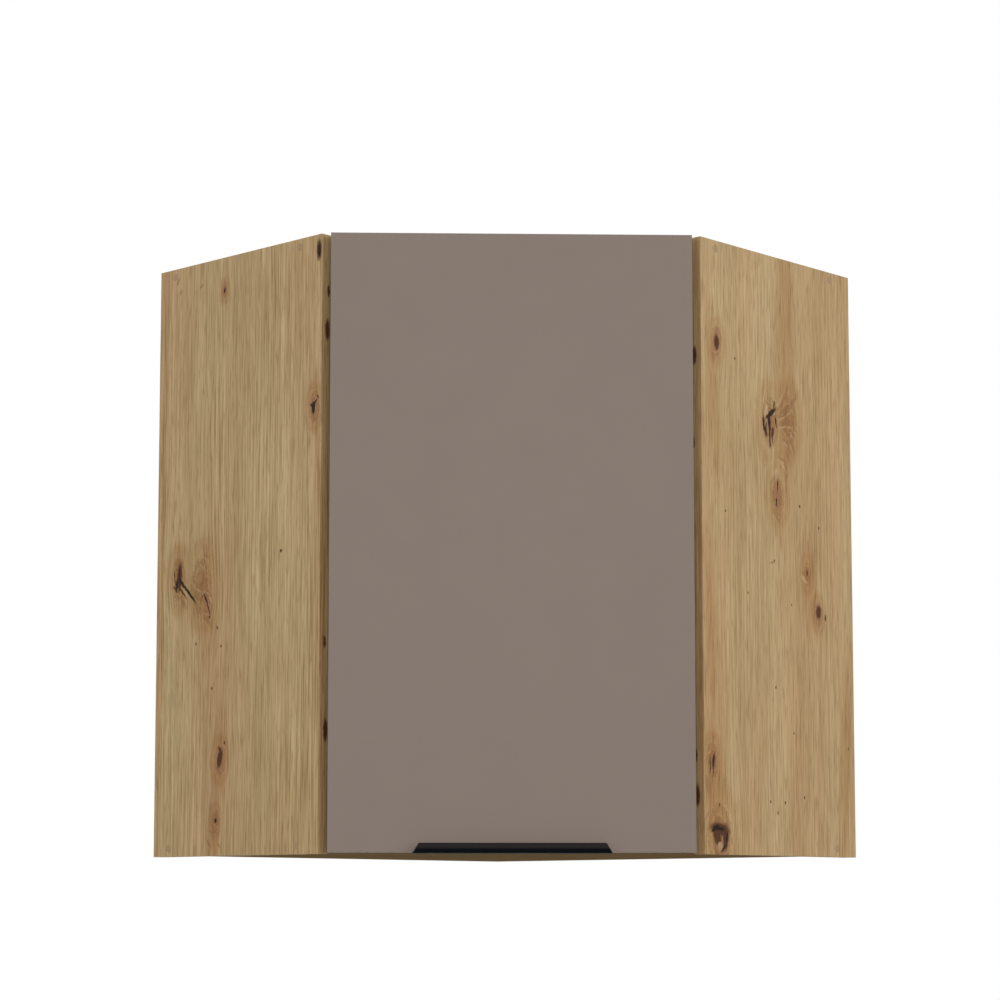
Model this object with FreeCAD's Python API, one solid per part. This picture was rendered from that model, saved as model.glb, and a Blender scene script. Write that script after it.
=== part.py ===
# Wall cabinet for an inside corner, with a 45 degree front and one door, in millimetres.
# +X is to the right of someone facing the door, +Y points into the wall corner, +Z is up.
# The origin is the centre of the bounding box's bottom face.
import FreeCAD, Part
import math
import os

Vec = FreeCAD.Vector

# Carcass
WALL_RUN = 600.0            # length along each wall, measured from the wall corner
SIDE_DEPTH = 290.0          # depth of a side panel, wall to front edge
HEIGHT = 716.0
BOARD = 16.0                # laminated board
END_INSET = 2.0             # top and bottom lie this far inside the ends of the sides
BAND = 0.8                  # edge band
BACK_BOARD = 3.0            # hardboard back
REBATE = 8.0                # width of the rebate that takes the back
BACK_GAP = 0.5              # play round a back panel
SHELF_COUNT = 2
SHELF_SETBACK = 24.0        # shelf edge behind the front edge of top and bottom
SHELF_GAP = 1.0             # play round a shelf
POST_WIDTH = 90.0           # board strip in the wall corner

# One-piece connecting screws and their caps
SCREW_NEAR = 28.0           # hole nearest to an end of a side panel
HOLE_STEP = 32.0            # all rows of holes keep to whole steps
SCREW_HEAD_R = 4.4
SCREW_HEAD = 3.0
SCREW_SHANK_R = 3.0
SCREW_THREAD_R = 2.5
SCREW_LENGTH = 50.0
SCREW_SOCKET = 4.0          # across the flats
SOCKET_DEPTH = 2.2
CAP_R = 4.4
CAP_SEAT = 1.6              # how deep a cap reaches into the board
CAP_PROUD = 0.4
CAP_CHAMFER = 0.3
POST_SCREW_EDGE = 20.0      # post screws from the long edges of the post
FIT = 0.05                  # radial play of a screw, pin or dowel in its hole

# Dowels, nails and shelf pins
DOWEL_R = 4.0
DOWEL_LENGTH = 30.0
DOWEL_IN_SIDE = 10.0
NAIL_HEAD_R = 2.0
NAIL_HEAD = 0.6
NAIL_R = 0.7
NAIL_LENGTH = 18.0
NAIL_MARGIN = 34.0
NAIL_PITCH = 125.0
PIN_R = 2.5
PIN_COLLAR_R = 3.6
PIN_COLLAR = 0.8
PIN_IN = 9.0
PIN_OUT = 8.0
PIN_HOLE = 10.0
PIN_ROWS = 3
PIN_COLUMN = 37.0           # hole columns from the front and back of a side
POST_PIN_EDGE = 25.0
SEAT = 0.05                 # a shelf lies this close above its pins

# Hanging brackets in the upper rear corners
HANGER_WIDTH = 18.0
HANGER_LONG = 58.0
HANGER_TALL = 50.0
HANGER_TOP_GAP = 3.0
HANGER_BACK_GAP = 5.0       # room for the lip of a wall rail
HANGER_ROUND = 2.0
HOOK_THICK = 2.5
HOOK_BAR = 14.0
HOOK_SCREW_GAP = 5.0        # end of the hook to the adjusting screws
HOOK_CLAW = 2.6
HOOK_CLAW_DROP = 12.0
HOOK_WALL_GAP = 0.8
HOOK_DOWN = 11.0            # top of the hook below the top of the housing
HOOK_PLAY = 0.3
WINDOW_WIDTH = 26.0         # hole in the back for the hook
WINDOW_TALL = 46.0
ADJUST_R = 2.6
ADJUST_HEAD_R = 3.8
ADJUST_HEAD = 1.2
ADJUST_LENGTH = 15.0
ADJUST_DROP = 14.0          # height screw below the top of the housing
ADJUST_PITCH = 19.0
HANGER_SCREW_R = 1.8
HANGER_SCREW_HEAD_R = 3.4
HANGER_SCREW_HEAD = 1.6
HANGER_SCREW_IN = 11.0
HANGER_SCREW_EDGE = 5.0     # from the top and bottom of the housing

# Door
DOOR_THICK = 18.0
DOOR_GAP = 1.5              # above and below the door
DOOR_SIDE_INSET = 10.45     # door's edge inside the outer front corner of a side
DOOR_BACK_GAP = 4.3         # door's back to the front edges of top and bottom
DOOR_EASE = 0.5             # rounding of the door's outer front edge
BUMPER_R = 4.5
BUMPER_EDGE = 12.0
BUMPER_GAP = 0.3
BUMPER_ROUND_SHARE = 0.33   # of the bumper's height

# Hinges, on the left; their cups lie in the back of the door
HINGE_END = 100.0           # hinge from the top or bottom edge of the door
CUP_R = 17.5
CUP_WALL = 1.0
CUP_DEPTH = 13.0
CUP_EDGE = 3.0              # board left between the cup and the door's edge
CUP_PLAY = 0.1
FLANGE = 1.2
FLANGE_LIP = 1.5
FLANGE_CUT = 12.0           # flange is cut straight this far from the cup's centre
EAR_SHIFT = 9.5
EAR_PITCH = 48.0
EAR_WIDTH = 12.0
EAR_END = 6.0
CUP_SCREW_R = 1.6
CUP_SCREW_HEAD_R = 3.3
CUP_SCREW_HEAD = 1.4
CUP_SCREW_IN = 11.0
AXIS_FROM_EDGE = 7.75       # hinge axis from the door's left edge
AXIS_FROM_BACK = 8.5        # hinge axis in front of the door's back face
HINGE_PIN_R = 1.25
KNUCKLE_R = 2.9
KNUCKLE_TALL = 8.0
NECK = 3.6                  # thickness of the curved neck
NECK_DROP = 0.6             # neck's first leg in front of the axis
NECK_OUT = 12.5             # first leg, along the door
NECK_BACK = 8.5             # second leg, to behind the axis
NECK_BEND = 2.8
PLATE_FROM_EDGE = 37.0
PLATE_WING = 10.0
PLATE_WING_TALL = 48.0
PLATE_WING_THICK = 2.0
PLATE_BLOCK = 42.0
PLATE_BLOCK_TALL = 11.6
PLATE_BLOCK_THICK = 5.5
PLATE_SCREW_R = 2.5
PLATE_SCREW_HEAD_R = 4.4
PLATE_SCREW_HEAD = 1.2
PLATE_SCREW_IN = 11.0
ARM_START = 8.0             # arm begins this far behind the side's front edge
ARM_LENGTH = 58.0
ARM_NOSE = 6.0
ARM_SHEET = 1.5
ARM_TALL = 15.2
ARM_ROUND = 0.7
ARM_OFF_PANEL = 2.2
ARM_TOP = 11.0              # arm's outer face from the side panel
ARM_NECK_JOIN = 8.0         # neck meets the arm this far from the side panel
ARM_SCREW_R = 2.4
ARM_SCREW_HEAD_R = 3.6
ARM_SCREW_HEAD = 1.8
ARM_SCREW_IN = 8.0
FIX_SCREW = 15.0            # behind the middle of the plate
SIDE_SCREW = 9.0            # in front of it
CROSS_WIDTH = 0.9           # cross recess in a screw head
CROSS_REACH_SHARE = 0.5     # of the head's radius
CROSS_DEPTH_SHARE = 0.67    # of the head's height

# Handle under the door
GRIP_LENGTH = 225.0
GRIP_TOP_LENGTH = 211.0
GRIP_TALL = 11.7
GRIP_WEB = 1.3
GRIP_LIP = 1.8
GRIP_REACH = 20.0           # lip's front before the door's front
GRIP_ROUND = 5.0
GRIP_FLANGE = 1.6
GRIP_FLANGE_TALL = 22.0
GRIP_SCREW_PITCH = 160.0
GRIP_SCREW_R = 1.6
GRIP_SCREW_HEAD_R = 3.3
GRIP_SCREW_IN = 12.0

OVERRUN = 1.0               # cutters reach this far past what they cut

# Places worked out from the sizes above
ROOT2 = math.sqrt(2.0)
DIAGONAL = (WALL_RUN + SIDE_DEPTH) / ROOT2
DOOR_FRONT = DOOR_THICK + DOOR_BACK_GAP - BOARD / ROOT2      # before the sides' outer front corners
FRONT_REACH = DOOR_FRONT + GRIP_REACH
TOTAL_DEPTH = DIAGONAL + FRONT_REACH
CORNER_Y = TOTAL_DEPTH / 2
FACE_Y = CORNER_Y - DIAGONAL                     # plane of the sides' outer front corners
INNER_Y = FACE_Y + BOARD / ROOT2                 # front edges of top and bottom
SIDE_INNER = WALL_RUN - BOARD
FRONT_SUM = SIDE_INNER + SIDE_DEPTH              # both wall distances added, on the front edge
DOOR_Y = FACE_Y - DOOR_FRONT
DOOR_BACK_Y = DOOR_Y + DOOR_THICK
DOOR_Z = DOOR_GAP
DOOR_HEIGHT = HEIGHT - 2 * DOOR_GAP
DOOR_LEFT = DOOR_SIDE_INSET - (WALL_RUN - SIDE_DEPTH) / ROOT2
TOP_Z = HEIGHT - END_INSET - BOARD
AXIS_X = DOOR_LEFT + AXIS_FROM_EDGE
AXIS_Y = DOOR_BACK_Y - AXIS_FROM_BACK
HINGE_ZS = [DOOR_Z + HINGE_END, DOOR_Z + DOOR_HEIGHT - HINGE_END]
CUP_X = DOOR_LEFT + CUP_EDGE + CUP_R
FLANGE_R = CUP_R + FLANGE_LIP
SCREW_ZS = [END_INSET + BOARD / 2, HEIGHT - END_INSET - BOARD / 2]
SCREW_PITCH = HOLE_STEP * math.floor((SIDE_DEPTH - 2 * SCREW_NEAR) / HOLE_STEP)
SHELF_ZS = [END_INSET + (HEIGHT - 2 * END_INSET) * (n + 1) / (SHELF_COUNT + 1)
            for n in range(SHELF_COUNT)]
HANGER_TOP = TOP_Z - HANGER_TOP_GAP
HANGER_FAR = SIDE_INNER - HANGER_WIDTH
HANGER_REAR = BACK_BOARD + HANGER_BACK_GAP
HANGER_MID = SIDE_INNER - HANGER_WIDTH / 2
HOOK_REACH = HANGER_LONG - ADJUST_LENGTH - HOOK_SCREW_GAP

X, Y, Z = Vec(1, 0, 0), Vec(0, 1, 0), Vec(0, 0, 1)
# Wall frame: its X runs along the left wall and its Y along the right wall, from their corner.
WALL_TURN = 225             # degrees
ROOM = FreeCAD.Placement(Vec(0, CORNER_Y, 0), FreeCAD.Rotation(Z, WALL_TURN))


def in_room(shape):
    """Take a shape from the wall frame into the row frame."""
    placed = shape.copy()
    placed.Placement = ROOM.multiply(placed.Placement)
    return placed


def mirrored(shape):
    return shape.mirror(Vec(0, 0, 0), X)


def box(low, high):
    size = high - low
    return Part.makeBox(size.x, size.y, size.z, low)


def rod(radius, start, direction, length):
    return Part.makeCylinder(radius, length, start, direction)


def slab(points, low, high):
    """Flat piece from an outline in plan, between two heights."""
    corners = [Vec(x, y, low) for x, y in points]
    face = Part.Face(Part.makePolygon(corners + corners[:1]))
    return face.extrude(Vec(0, 0, high - low))


def cut(body, tools):
    return body.cut(Part.makeCompound(tools)) if tools else body


def export(name, shapes):
    shape = shapes if isinstance(shapes, Part.Shape) else Part.makeCompound(shapes)
    shape.exportStep(os.path.join("parts", name + ".step"))


def any_square_to(direction):
    return Z if abs(direction.z) < abs(direction.x) + abs(direction.y) else X


def cross_recess(top, direction, head_r, head):
    """Cutter for the cross recess of a screw whose head ends at top."""
    first = any_square_to(direction)
    second = direction.cross(first)
    reach = head_r * CROSS_REACH_SHARE
    depth = head * CROSS_DEPTH_SHARE
    bars = []
    for long_way, short_way in ((first, second), (second, first)):
        corners = [top + long_way * (reach * a) + short_way * (CROSS_WIDTH / 2 * b)
                   for a, b in ((-1, -1), (1, -1), (1, 1), (-1, 1))]
        face = Part.Face(Part.makePolygon(corners + corners[:1]))
        bars.append(face.extrude(direction * -depth))
    return bars


def flat_head_screw(seat, direction, head_r, head, shank_r, length, play=0.0):
    """Screw whose head stands on seat, pointing away from direction; play widens it to a cutter."""
    shank = rod(shank_r + play, seat + direction * head / 2, direction * -1, length + head / 2)
    if play:
        return shank
    body = rod(head_r, seat, direction, head).fuse(shank)
    return cut(body, cross_recess(seat + direction * head, direction, head_r, head))


def sunk_screw(face, direction, head_r, shank_r, depth, length, play=0.0):
    """Countersunk screw whose head is flush with face."""
    cone = Part.makeCone(head_r + play, shank_r + play, depth, face, direction * -1)
    shank = rod(shank_r + play, face - direction * depth, direction * -1, length - depth)
    body = cone.fuse(shank)
    if play:
        return body
    return cut(body, cross_recess(face, direction, head_r, depth))


def connecting_screw(face, direction, sunk, play=0.0):
    """One-piece connecting screw; its head lies sunk below face, and it points against direction."""
    head_top = face - direction * sunk
    shank_length = BOARD - sunk - SCREW_HEAD
    neck_top = head_top - direction * SCREW_HEAD
    thread_top = neck_top - direction * shank_length
    thread_length = SCREW_LENGTH - SCREW_HEAD - shank_length
    head = rod(SCREW_HEAD_R + play, head_top, direction * -1, SCREW_HEAD)
    shank = rod(SCREW_SHANK_R + play, neck_top, direction * -1, shank_length)
    thread = rod(SCREW_THREAD_R + play, thread_top, direction * -1, thread_length + play)
    body = head.fuse([shank, thread])
    if play:
        return body.fuse(rod(SCREW_HEAD_R + play, head_top, direction, sunk + OVERRUN))
    side = any_square_to(direction)
    other = direction.cross(side)
    across = SCREW_SOCKET / math.sqrt(3.0)
    ring = [head_top + side * (across * math.cos(math.radians(60 * n)))
            + other * (across * math.sin(math.radians(60 * n))) for n in range(6)]
    socket = Part.Face(Part.makePolygon(ring + ring[:1])).extrude(direction * -SOCKET_DEPTH)
    return body.cut(socket)


# Pieces that come in both sides of the carcass are made for the left, in the wall frame,
# and mirrored. The right side's screws are those of the same drilling turned round.
def screw_rows(turned):
    first = SIDE_DEPTH - SCREW_NEAR if turned else SCREW_NEAR
    step = -SCREW_PITCH if turned else SCREW_PITCH
    return [first, first + step]


def side_screws(turned, play=0.0):
    """Screws of one side, in the wall frame of the left side."""
    return [connecting_screw(Vec(WALL_RUN, row, z), X, CAP_SEAT, play)
            for row in screw_rows(turned) for z in SCREW_ZS]


def dowel_row(turned):
    return sum(screw_rows(turned)) / 2


def dowels(turned, play=0.0):
    start = SIDE_INNER + DOWEL_IN_SIDE
    return [rod(DOWEL_R + play, Vec(start + play, dowel_row(turned), z), X * -1, DOWEL_LENGTH + 2 * play)
            for z in SCREW_ZS]


def caps(turned):
    made = []
    for row in screw_rows(turned):
        for z in SCREW_ZS:
            disc = rod(CAP_R, Vec(WALL_RUN - CAP_SEAT, row, z), X, CAP_SEAT + CAP_PROUD)
            rim = [edge for edge in disc.Edges if edge.BoundBox.XMin > WALL_RUN]
            made.append(disc.makeChamfer(CAP_CHAMFER, rim))
    return made


def pin_heights():
    return [height + HOLE_STEP * (row - (PIN_ROWS - 1) / 2)
            for height in SHELF_ZS for row in range(PIN_ROWS)]


def pin_at(start, direction):
    """Shelf pin standing out of a face at start."""
    inner = rod(PIN_R, start, direction * -1, PIN_IN)
    collar = rod(PIN_COLLAR_R, start, direction, PIN_COLLAR)
    outer = rod(PIN_R, start, direction, PIN_OUT)
    return inner.fuse([collar, outer])


def pin_columns():
    return [PIN_COLUMN, SIDE_DEPTH - PIN_COLUMN]


def shelf_bottom(height):
    return height + PIN_R + SEAT


def side_panel(turned):
    """Side panel in the wall frame, without its front edge band."""
    body = box(Vec(SIDE_INNER, 0, 0), Vec(WALL_RUN, SIDE_DEPTH - BAND, HEIGHT))
    tools = [box(Vec(SIDE_INNER - OVERRUN, -OVERRUN, -OVERRUN),
                 Vec(SIDE_INNER + REBATE, BACK_BOARD, HEIGHT + OVERRUN))]
    tools += side_screws(turned, FIT)
    tools += dowels(turned, FIT)
    for column in pin_columns():
        for height in pin_heights():
            tools.append(rod(PIN_R + FIT, Vec(SIDE_INNER, column, height), X, PIN_HOLE))
    tools += hanger_screws(FIT)
    for height in HINGE_ZS:
        for step in (-1, 1):
            tools.append(rod(PLATE_SCREW_R + FIT,
                             Vec(SIDE_INNER, SIDE_DEPTH - PLATE_FROM_EDGE,
                                 height + step * HOLE_STEP / 2), X, PLATE_SCREW_IN + FIT))
    tools += side_nails(FIT)
    return cut(body, tools)


def side_band():
    return box(Vec(SIDE_INNER, SIDE_DEPTH - BAND, 0), Vec(WALL_RUN, SIDE_DEPTH, HEIGHT))


def five_corners(low, side, front_sum):
    """Plan outline with the corner cut off at 45 degrees on the door's side."""
    return [(low, low), (side, low), (side, front_sum - side), (front_sum - side, side), (low, side)]


def cross_panel(low_z, nails):
    """Top or bottom panel in the wall frame, without its edge band."""
    outline = five_corners(BACK_BOARD, SIDE_INNER, FRONT_SUM - BAND * ROOT2)
    return cut(slab(outline, low_z, low_z + BOARD), nails)


def front_band(side, front_sum, low_z):
    back_sum = front_sum - BAND * ROOT2
    outline = [(side, back_sum - side), (side, front_sum - side),
               (front_sum - side, side), (back_sum - side, side)]
    return slab(outline, low_z, low_z + BOARD)


def shelf_sums():
    return SIDE_INNER - SHELF_GAP, FRONT_SUM - SHELF_SETBACK * ROOT2


def shelf(height):
    side, front_sum = shelf_sums()
    low = BACK_BOARD + SHELF_GAP
    outline = five_corners(low, side, front_sum - BAND * ROOT2)
    body = slab(outline, shelf_bottom(height), shelf_bottom(height) + BOARD)
    notch = box(Vec(0, 0, shelf_bottom(height) - OVERRUN),
                Vec(BACK_BOARD + POST_WIDTH + SHELF_GAP, BACK_BOARD + BOARD + SHELF_GAP,
                    shelf_bottom(height) + BOARD + OVERRUN))
    return body.cut(notch)


def post_columns():
    return [BACK_BOARD + POST_PIN_EDGE, BACK_BOARD + POST_WIDTH - POST_PIN_EDGE]


def corner_post():
    body = box(Vec(BACK_BOARD, BACK_BOARD, END_INSET + BOARD),
               Vec(BACK_BOARD + POST_WIDTH, BACK_BOARD + BOARD, TOP_Z))
    face = BACK_BOARD + BOARD
    tools = [rod(PIN_R + FIT, Vec(column, face, height), Y * -1, PIN_HOLE)
             for column in post_columns() for height in pin_heights()]
    return cut(body, tools + post_screws(FIT) + post_nails(FIT))


def post_screws(play=0.0):
    made = []
    for column in (BACK_BOARD + POST_SCREW_EDGE, BACK_BOARD + POST_WIDTH - POST_SCREW_EDGE):
        row = BACK_BOARD + BOARD / 2
        made.append(connecting_screw(Vec(column, row, TOP_Z + BOARD), Z, 0, play))
        made.append(connecting_screw(Vec(column, row, END_INSET), Z * -1, 0, play))
    return made


def all_pins():
    """Shelf pins of both shelves in the wall frame: left side, right side and post."""
    made = []
    for height in SHELF_ZS:
        for column in pin_columns():
            made.append(pin_at(Vec(SIDE_INNER, column, height), X * -1))
            made.append(pin_at(Vec(column, SIDE_INNER, height), Y * -1))
        for column in post_columns():
            made.append(pin_at(Vec(column, BACK_BOARD + BOARD, height), Y))
    return made


def nail(face, direction, play=0.0):
    """Nail whose head is flush with face; direction points out of the face."""
    head = rod(NAIL_HEAD_R + play, face, direction * -1, NAIL_HEAD)
    return head.fuse(rod(NAIL_R + play, face, direction * -1, NAIL_LENGTH + play))


def spaced(low, high):
    """Even steps of about the nail pitch from low to high."""
    steps = max(1, round((high - low) / NAIL_PITCH))
    return [low + (high - low) * n / steps for n in range(steps + 1)]


# The backs are nailed along the top and bottom panels, the sides' rebates and the post.
def panel_nails(z, play=0.0):
    runs = spaced(NAIL_MARGIN, SIDE_INNER - NAIL_MARGIN)
    return [nail(Vec(run, 0, z), Y * -1, play) for run in runs]


def side_nails(play=0.0):
    heights = spaced(SCREW_ZS[0] + NAIL_MARGIN, SCREW_ZS[1] - NAIL_MARGIN - WINDOW_TALL)
    return [nail(Vec(SIDE_INNER + REBATE / 2, 0, z), Y * -1, play) for z in heights]


def post_nails(play=0.0):
    heights = spaced(SCREW_ZS[0] + NAIL_MARGIN + SCREW_LENGTH, SCREW_ZS[1] - NAIL_MARGIN - SCREW_LENGTH)
    run = BACK_BOARD + POST_WIDTH / 2
    return [nail(Vec(run, 0, z), Y * -1, play) for z in heights]


def swap_walls(shape):
    """Mirror a shape of the wall frame from the left wall to the right wall."""
    return shape.mirror(Vec(0, 0, 0), Vec(1, -1, 0))


def left_nails(play=0.0):
    made = side_nails(play) + post_nails(play)
    for z in SCREW_ZS:
        made += panel_nails(z, play)
    return made


def right_nails(play=0.0):
    made = [swap_walls(item) for item in side_nails(play)]
    for z in SCREW_ZS:
        made += [swap_walls(item) for item in panel_nails(z, play)]
    return made


def window():
    return box(Vec(SIDE_INNER - WINDOW_WIDTH, -OVERRUN, HANGER_TOP - WINDOW_TALL),
               Vec(SIDE_INNER - BACK_GAP, BACK_BOARD + OVERRUN, HANGER_TOP))


def back_panel(start, nails):
    """Hardboard back of the left wall in the wall frame, from start to the side's rebate."""
    body = box(Vec(start, 0, END_INSET + BACK_GAP),
               Vec(SIDE_INNER + REBATE - BACK_GAP, BACK_BOARD, HEIGHT - END_INSET - BACK_GAP))
    return cut(body, nails + [window()])


# Hanging brackets, in the wall frame of the left side
def hanger_housing():
    low = Vec(HANGER_FAR, HANGER_REAR, HANGER_TOP - HANGER_TALL)
    high = Vec(SIDE_INNER, HANGER_REAR + HANGER_LONG, HANGER_TOP)
    body = box(low, high)
    long_edges = [edge for edge in body.Edges
                  if edge.Length > HANGER_LONG - FIT and edge.CenterOfMass.x < HANGER_MID]
    body = body.makeFillet(HANGER_ROUND, long_edges)
    hook_top = HANGER_TOP - HOOK_DOWN
    slot = box(Vec(HANGER_MID - HOOK_THICK / 2 - HOOK_PLAY, HANGER_REAR - OVERRUN,
                   hook_top - HOOK_BAR - HOOK_CLAW_DROP - HOOK_PLAY),
               Vec(HANGER_MID + HOOK_THICK / 2 + HOOK_PLAY, HANGER_REAR + HOOK_REACH + HOOK_PLAY,
                   hook_top + HOOK_PLAY))
    return cut(body, [slot] + adjusting_screws(FIT) + hanger_screws(FIT))


def hanger_hook():
    top = HANGER_TOP - HOOK_DOWN
    rear = HOOK_WALL_GAP
    front = HANGER_REAR + HOOK_REACH
    points = [(rear, top), (front, top), (front, top - HOOK_BAR), (rear + HOOK_CLAW, top - HOOK_BAR),
              (rear + HOOK_CLAW, top - HOOK_BAR - HOOK_CLAW_DROP), (rear, top - HOOK_BAR - HOOK_CLAW_DROP)]
    corners = [Vec(HANGER_MID - HOOK_THICK / 2, y, z) for y, z in points]
    return Part.Face(Part.makePolygon(corners + corners[:1])).extrude(Vec(HOOK_THICK, 0, 0))


def adjusting_screws(play=0.0):
    face = HANGER_REAR + HANGER_LONG
    return [flat_head_screw(Vec(HANGER_MID, face, HANGER_TOP - ADJUST_DROP - ADJUST_PITCH * n), Y,
                            ADJUST_HEAD_R, ADJUST_HEAD, ADJUST_R, ADJUST_LENGTH, play)
            for n in range(2)]


def hanger_screws(play=0.0):
    row = HANGER_REAR + HANGER_LONG / 2
    length = HANGER_WIDTH + HANGER_SCREW_IN
    return [flat_head_screw(Vec(HANGER_FAR, row, z), X * -1, HANGER_SCREW_HEAD_R,
                            HANGER_SCREW_HEAD, HANGER_SCREW_R, length, play)
            for z in (HANGER_TOP - HANGER_SCREW_EDGE, HANGER_TOP - HANGER_TALL + HANGER_SCREW_EDGE)]


# Door and handle, in the row frame
def door_core():
    low = Vec(DOOR_LEFT + BAND, DOOR_Y, DOOR_Z + BAND)
    high = Vec(-DOOR_LEFT - BAND, DOOR_BACK_Y, DOOR_Z + DOOR_HEIGHT - BAND)
    tools = []
    for height in HINGE_ZS:
        tools.append(rod(CUP_R + CUP_PLAY, Vec(CUP_X, DOOR_BACK_Y, height), Y * -1, CUP_DEPTH + CUP_PLAY))
        tools += cup_screws(height, FIT)
    return cut(box(low, high), tools + grip_screws(FIT))


def door_bands():
    """Edge bands of the door: left, right, bottom, top, with the outer front edge eased."""
    top = DOOR_Z + DOOR_HEIGHT
    right = -DOOR_LEFT
    spans = [(Vec(DOOR_LEFT, DOOR_Y, DOOR_Z), Vec(DOOR_LEFT + BAND, DOOR_BACK_Y, top)),
             (Vec(right - BAND, DOOR_Y, DOOR_Z), Vec(right, DOOR_BACK_Y, top)),
             (Vec(DOOR_LEFT + BAND, DOOR_Y, DOOR_Z), Vec(right - BAND, DOOR_BACK_Y, DOOR_Z + BAND)),
             (Vec(DOOR_LEFT + BAND, DOOR_Y, top - BAND), Vec(right - BAND, DOOR_BACK_Y, top))]
    made = []
    for low, high in spans:
        band = box(low, high)
        eased = []
        for edge in band.Edges:
            centre = edge.CenterOfMass
            is_front = abs(centre.y - DOOR_Y) < FIT and edge.Length > DOOR_THICK
            is_outer = (abs(abs(centre.x) - right) < FIT or abs(centre.z - DOOR_Z) < FIT
                        or abs(centre.z - top) < FIT)
            if is_front and is_outer:
                eased.append(edge)
        made.append(band.makeFillet(DOOR_EASE, eased))
    return made


def bumpers():
    """Soft stops on the back of the door, at its free edge."""
    length = INNER_Y - DOOR_BACK_Y - BUMPER_GAP
    x = -DOOR_LEFT - BUMPER_EDGE
    made = []
    for z in SCREW_ZS:
        disc = rod(BUMPER_R, Vec(x, DOOR_BACK_Y, z), Y, length)
        rim = [edge for edge in disc.Edges if edge.BoundBox.YMin > DOOR_BACK_Y + FIT]
        made.append(disc.makeFillet(length * BUMPER_ROUND_SHARE, rim))
    return made


def grip_profile():
    """Section of the handle: flange behind the door, web under it, lip in front."""
    back = DOOR_BACK_Y + GRIP_FLANGE
    front = DOOR_Y - GRIP_REACH
    low = DOOR_Z - GRIP_WEB
    top = low + GRIP_TALL
    inner_round = GRIP_ROUND - GRIP_LIP
    turn = math.sqrt(0.5)
    centre = Vec(0, front + GRIP_ROUND, low + GRIP_ROUND)
    inner_centre = Vec(0, front + GRIP_LIP + inner_round, DOOR_Z + inner_round)
    edges = [Part.makeLine(Vec(0, back, low), Vec(0, back, DOOR_Z + GRIP_FLANGE_TALL)),
             Part.makeLine(Vec(0, back, DOOR_Z + GRIP_FLANGE_TALL),
                           Vec(0, DOOR_BACK_Y, DOOR_Z + GRIP_FLANGE_TALL)),
             Part.makeLine(Vec(0, DOOR_BACK_Y, DOOR_Z + GRIP_FLANGE_TALL), Vec(0, DOOR_BACK_Y, DOOR_Z)),
             Part.makeLine(Vec(0, DOOR_BACK_Y, DOOR_Z), Vec(0, inner_centre.y, DOOR_Z)),
             Part.Arc(Vec(0, inner_centre.y, DOOR_Z),
                      inner_centre + Vec(0, -turn * inner_round, -turn * inner_round),
                      Vec(0, front + GRIP_LIP, inner_centre.z)).toShape(),
             Part.makeLine(Vec(0, front + GRIP_LIP, inner_centre.z), Vec(0, front + GRIP_LIP, top)),
             Part.makeLine(Vec(0, front + GRIP_LIP, top), Vec(0, front, top)),
             Part.makeLine(Vec(0, front, top), Vec(0, front, centre.z)),
             Part.Arc(Vec(0, front, centre.z),
                      centre + Vec(0, -turn * GRIP_ROUND, -turn * GRIP_ROUND),
                      Vec(0, centre.y, low)).toShape(),
             Part.makeLine(Vec(0, centre.y, low), Vec(0, back, low))]
    return Part.Face(Part.Wire(edges))


def handle():
    body = grip_profile().extrude(Vec(GRIP_LENGTH, 0, 0))
    body.translate(Vec(-GRIP_LENGTH / 2, 0, 0))
    low = DOOR_Z - GRIP_WEB
    rise = OVERRUN / GRIP_TALL
    slope = (GRIP_LENGTH - GRIP_TOP_LENGTH) / 2
    tools = []
    for way in (-1, 1):
        end = way * GRIP_LENGTH / 2
        inner = end - way * slope * (1 + rise)
        corners = [Vec(end, DOOR_Y - GRIP_REACH - OVERRUN, low),
                   Vec(inner, DOOR_Y - GRIP_REACH - OVERRUN, low + GRIP_TALL + OVERRUN),
                   Vec(end + way * OVERRUN, DOOR_Y - GRIP_REACH - OVERRUN, low + GRIP_TALL + OVERRUN),
                   Vec(end + way * OVERRUN, DOOR_Y - GRIP_REACH - OVERRUN, low)]
        wedge = Part.Face(Part.makePolygon(corners + corners[:1]))
        tools.append(wedge.extrude(Vec(0, GRIP_REACH + OVERRUN - GRIP_ROUND, 0)))
    return cut(body, tools + grip_screws(FIT))


def grip_screws(play=0.0):
    face = DOOR_BACK_Y + GRIP_FLANGE
    return [sunk_screw(Vec(way * GRIP_SCREW_PITCH / 2, face, DOOR_Z + GRIP_FLANGE_TALL / 2), Y,
                       GRIP_SCREW_HEAD_R, GRIP_SCREW_R, GRIP_FLANGE, GRIP_FLANGE + GRIP_SCREW_IN, play)
            for way in (-1, 1)]


# Hinges: the cup, its screws and its pin belong to the door
def cup_screws(height, play=0.0):
    face = DOOR_BACK_Y + FLANGE
    return [flat_head_screw(Vec(CUP_X + EAR_SHIFT, face, height + way * EAR_PITCH / 2), Y,
                            CUP_SCREW_HEAD_R, CUP_SCREW_HEAD, CUP_SCREW_R, FLANGE + CUP_SCREW_IN, play)
            for way in (-1, 1)]


def hinge_pin(height, play=0.0):
    offset = CUP_X - AXIS_X + HINGE_PIN_R
    half = math.sqrt(CUP_R ** 2 - offset ** 2)
    return rod(HINGE_PIN_R + play, Vec(AXIS_X, AXIS_Y, height - half - play), Z, 2 * (half + play))


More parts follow.
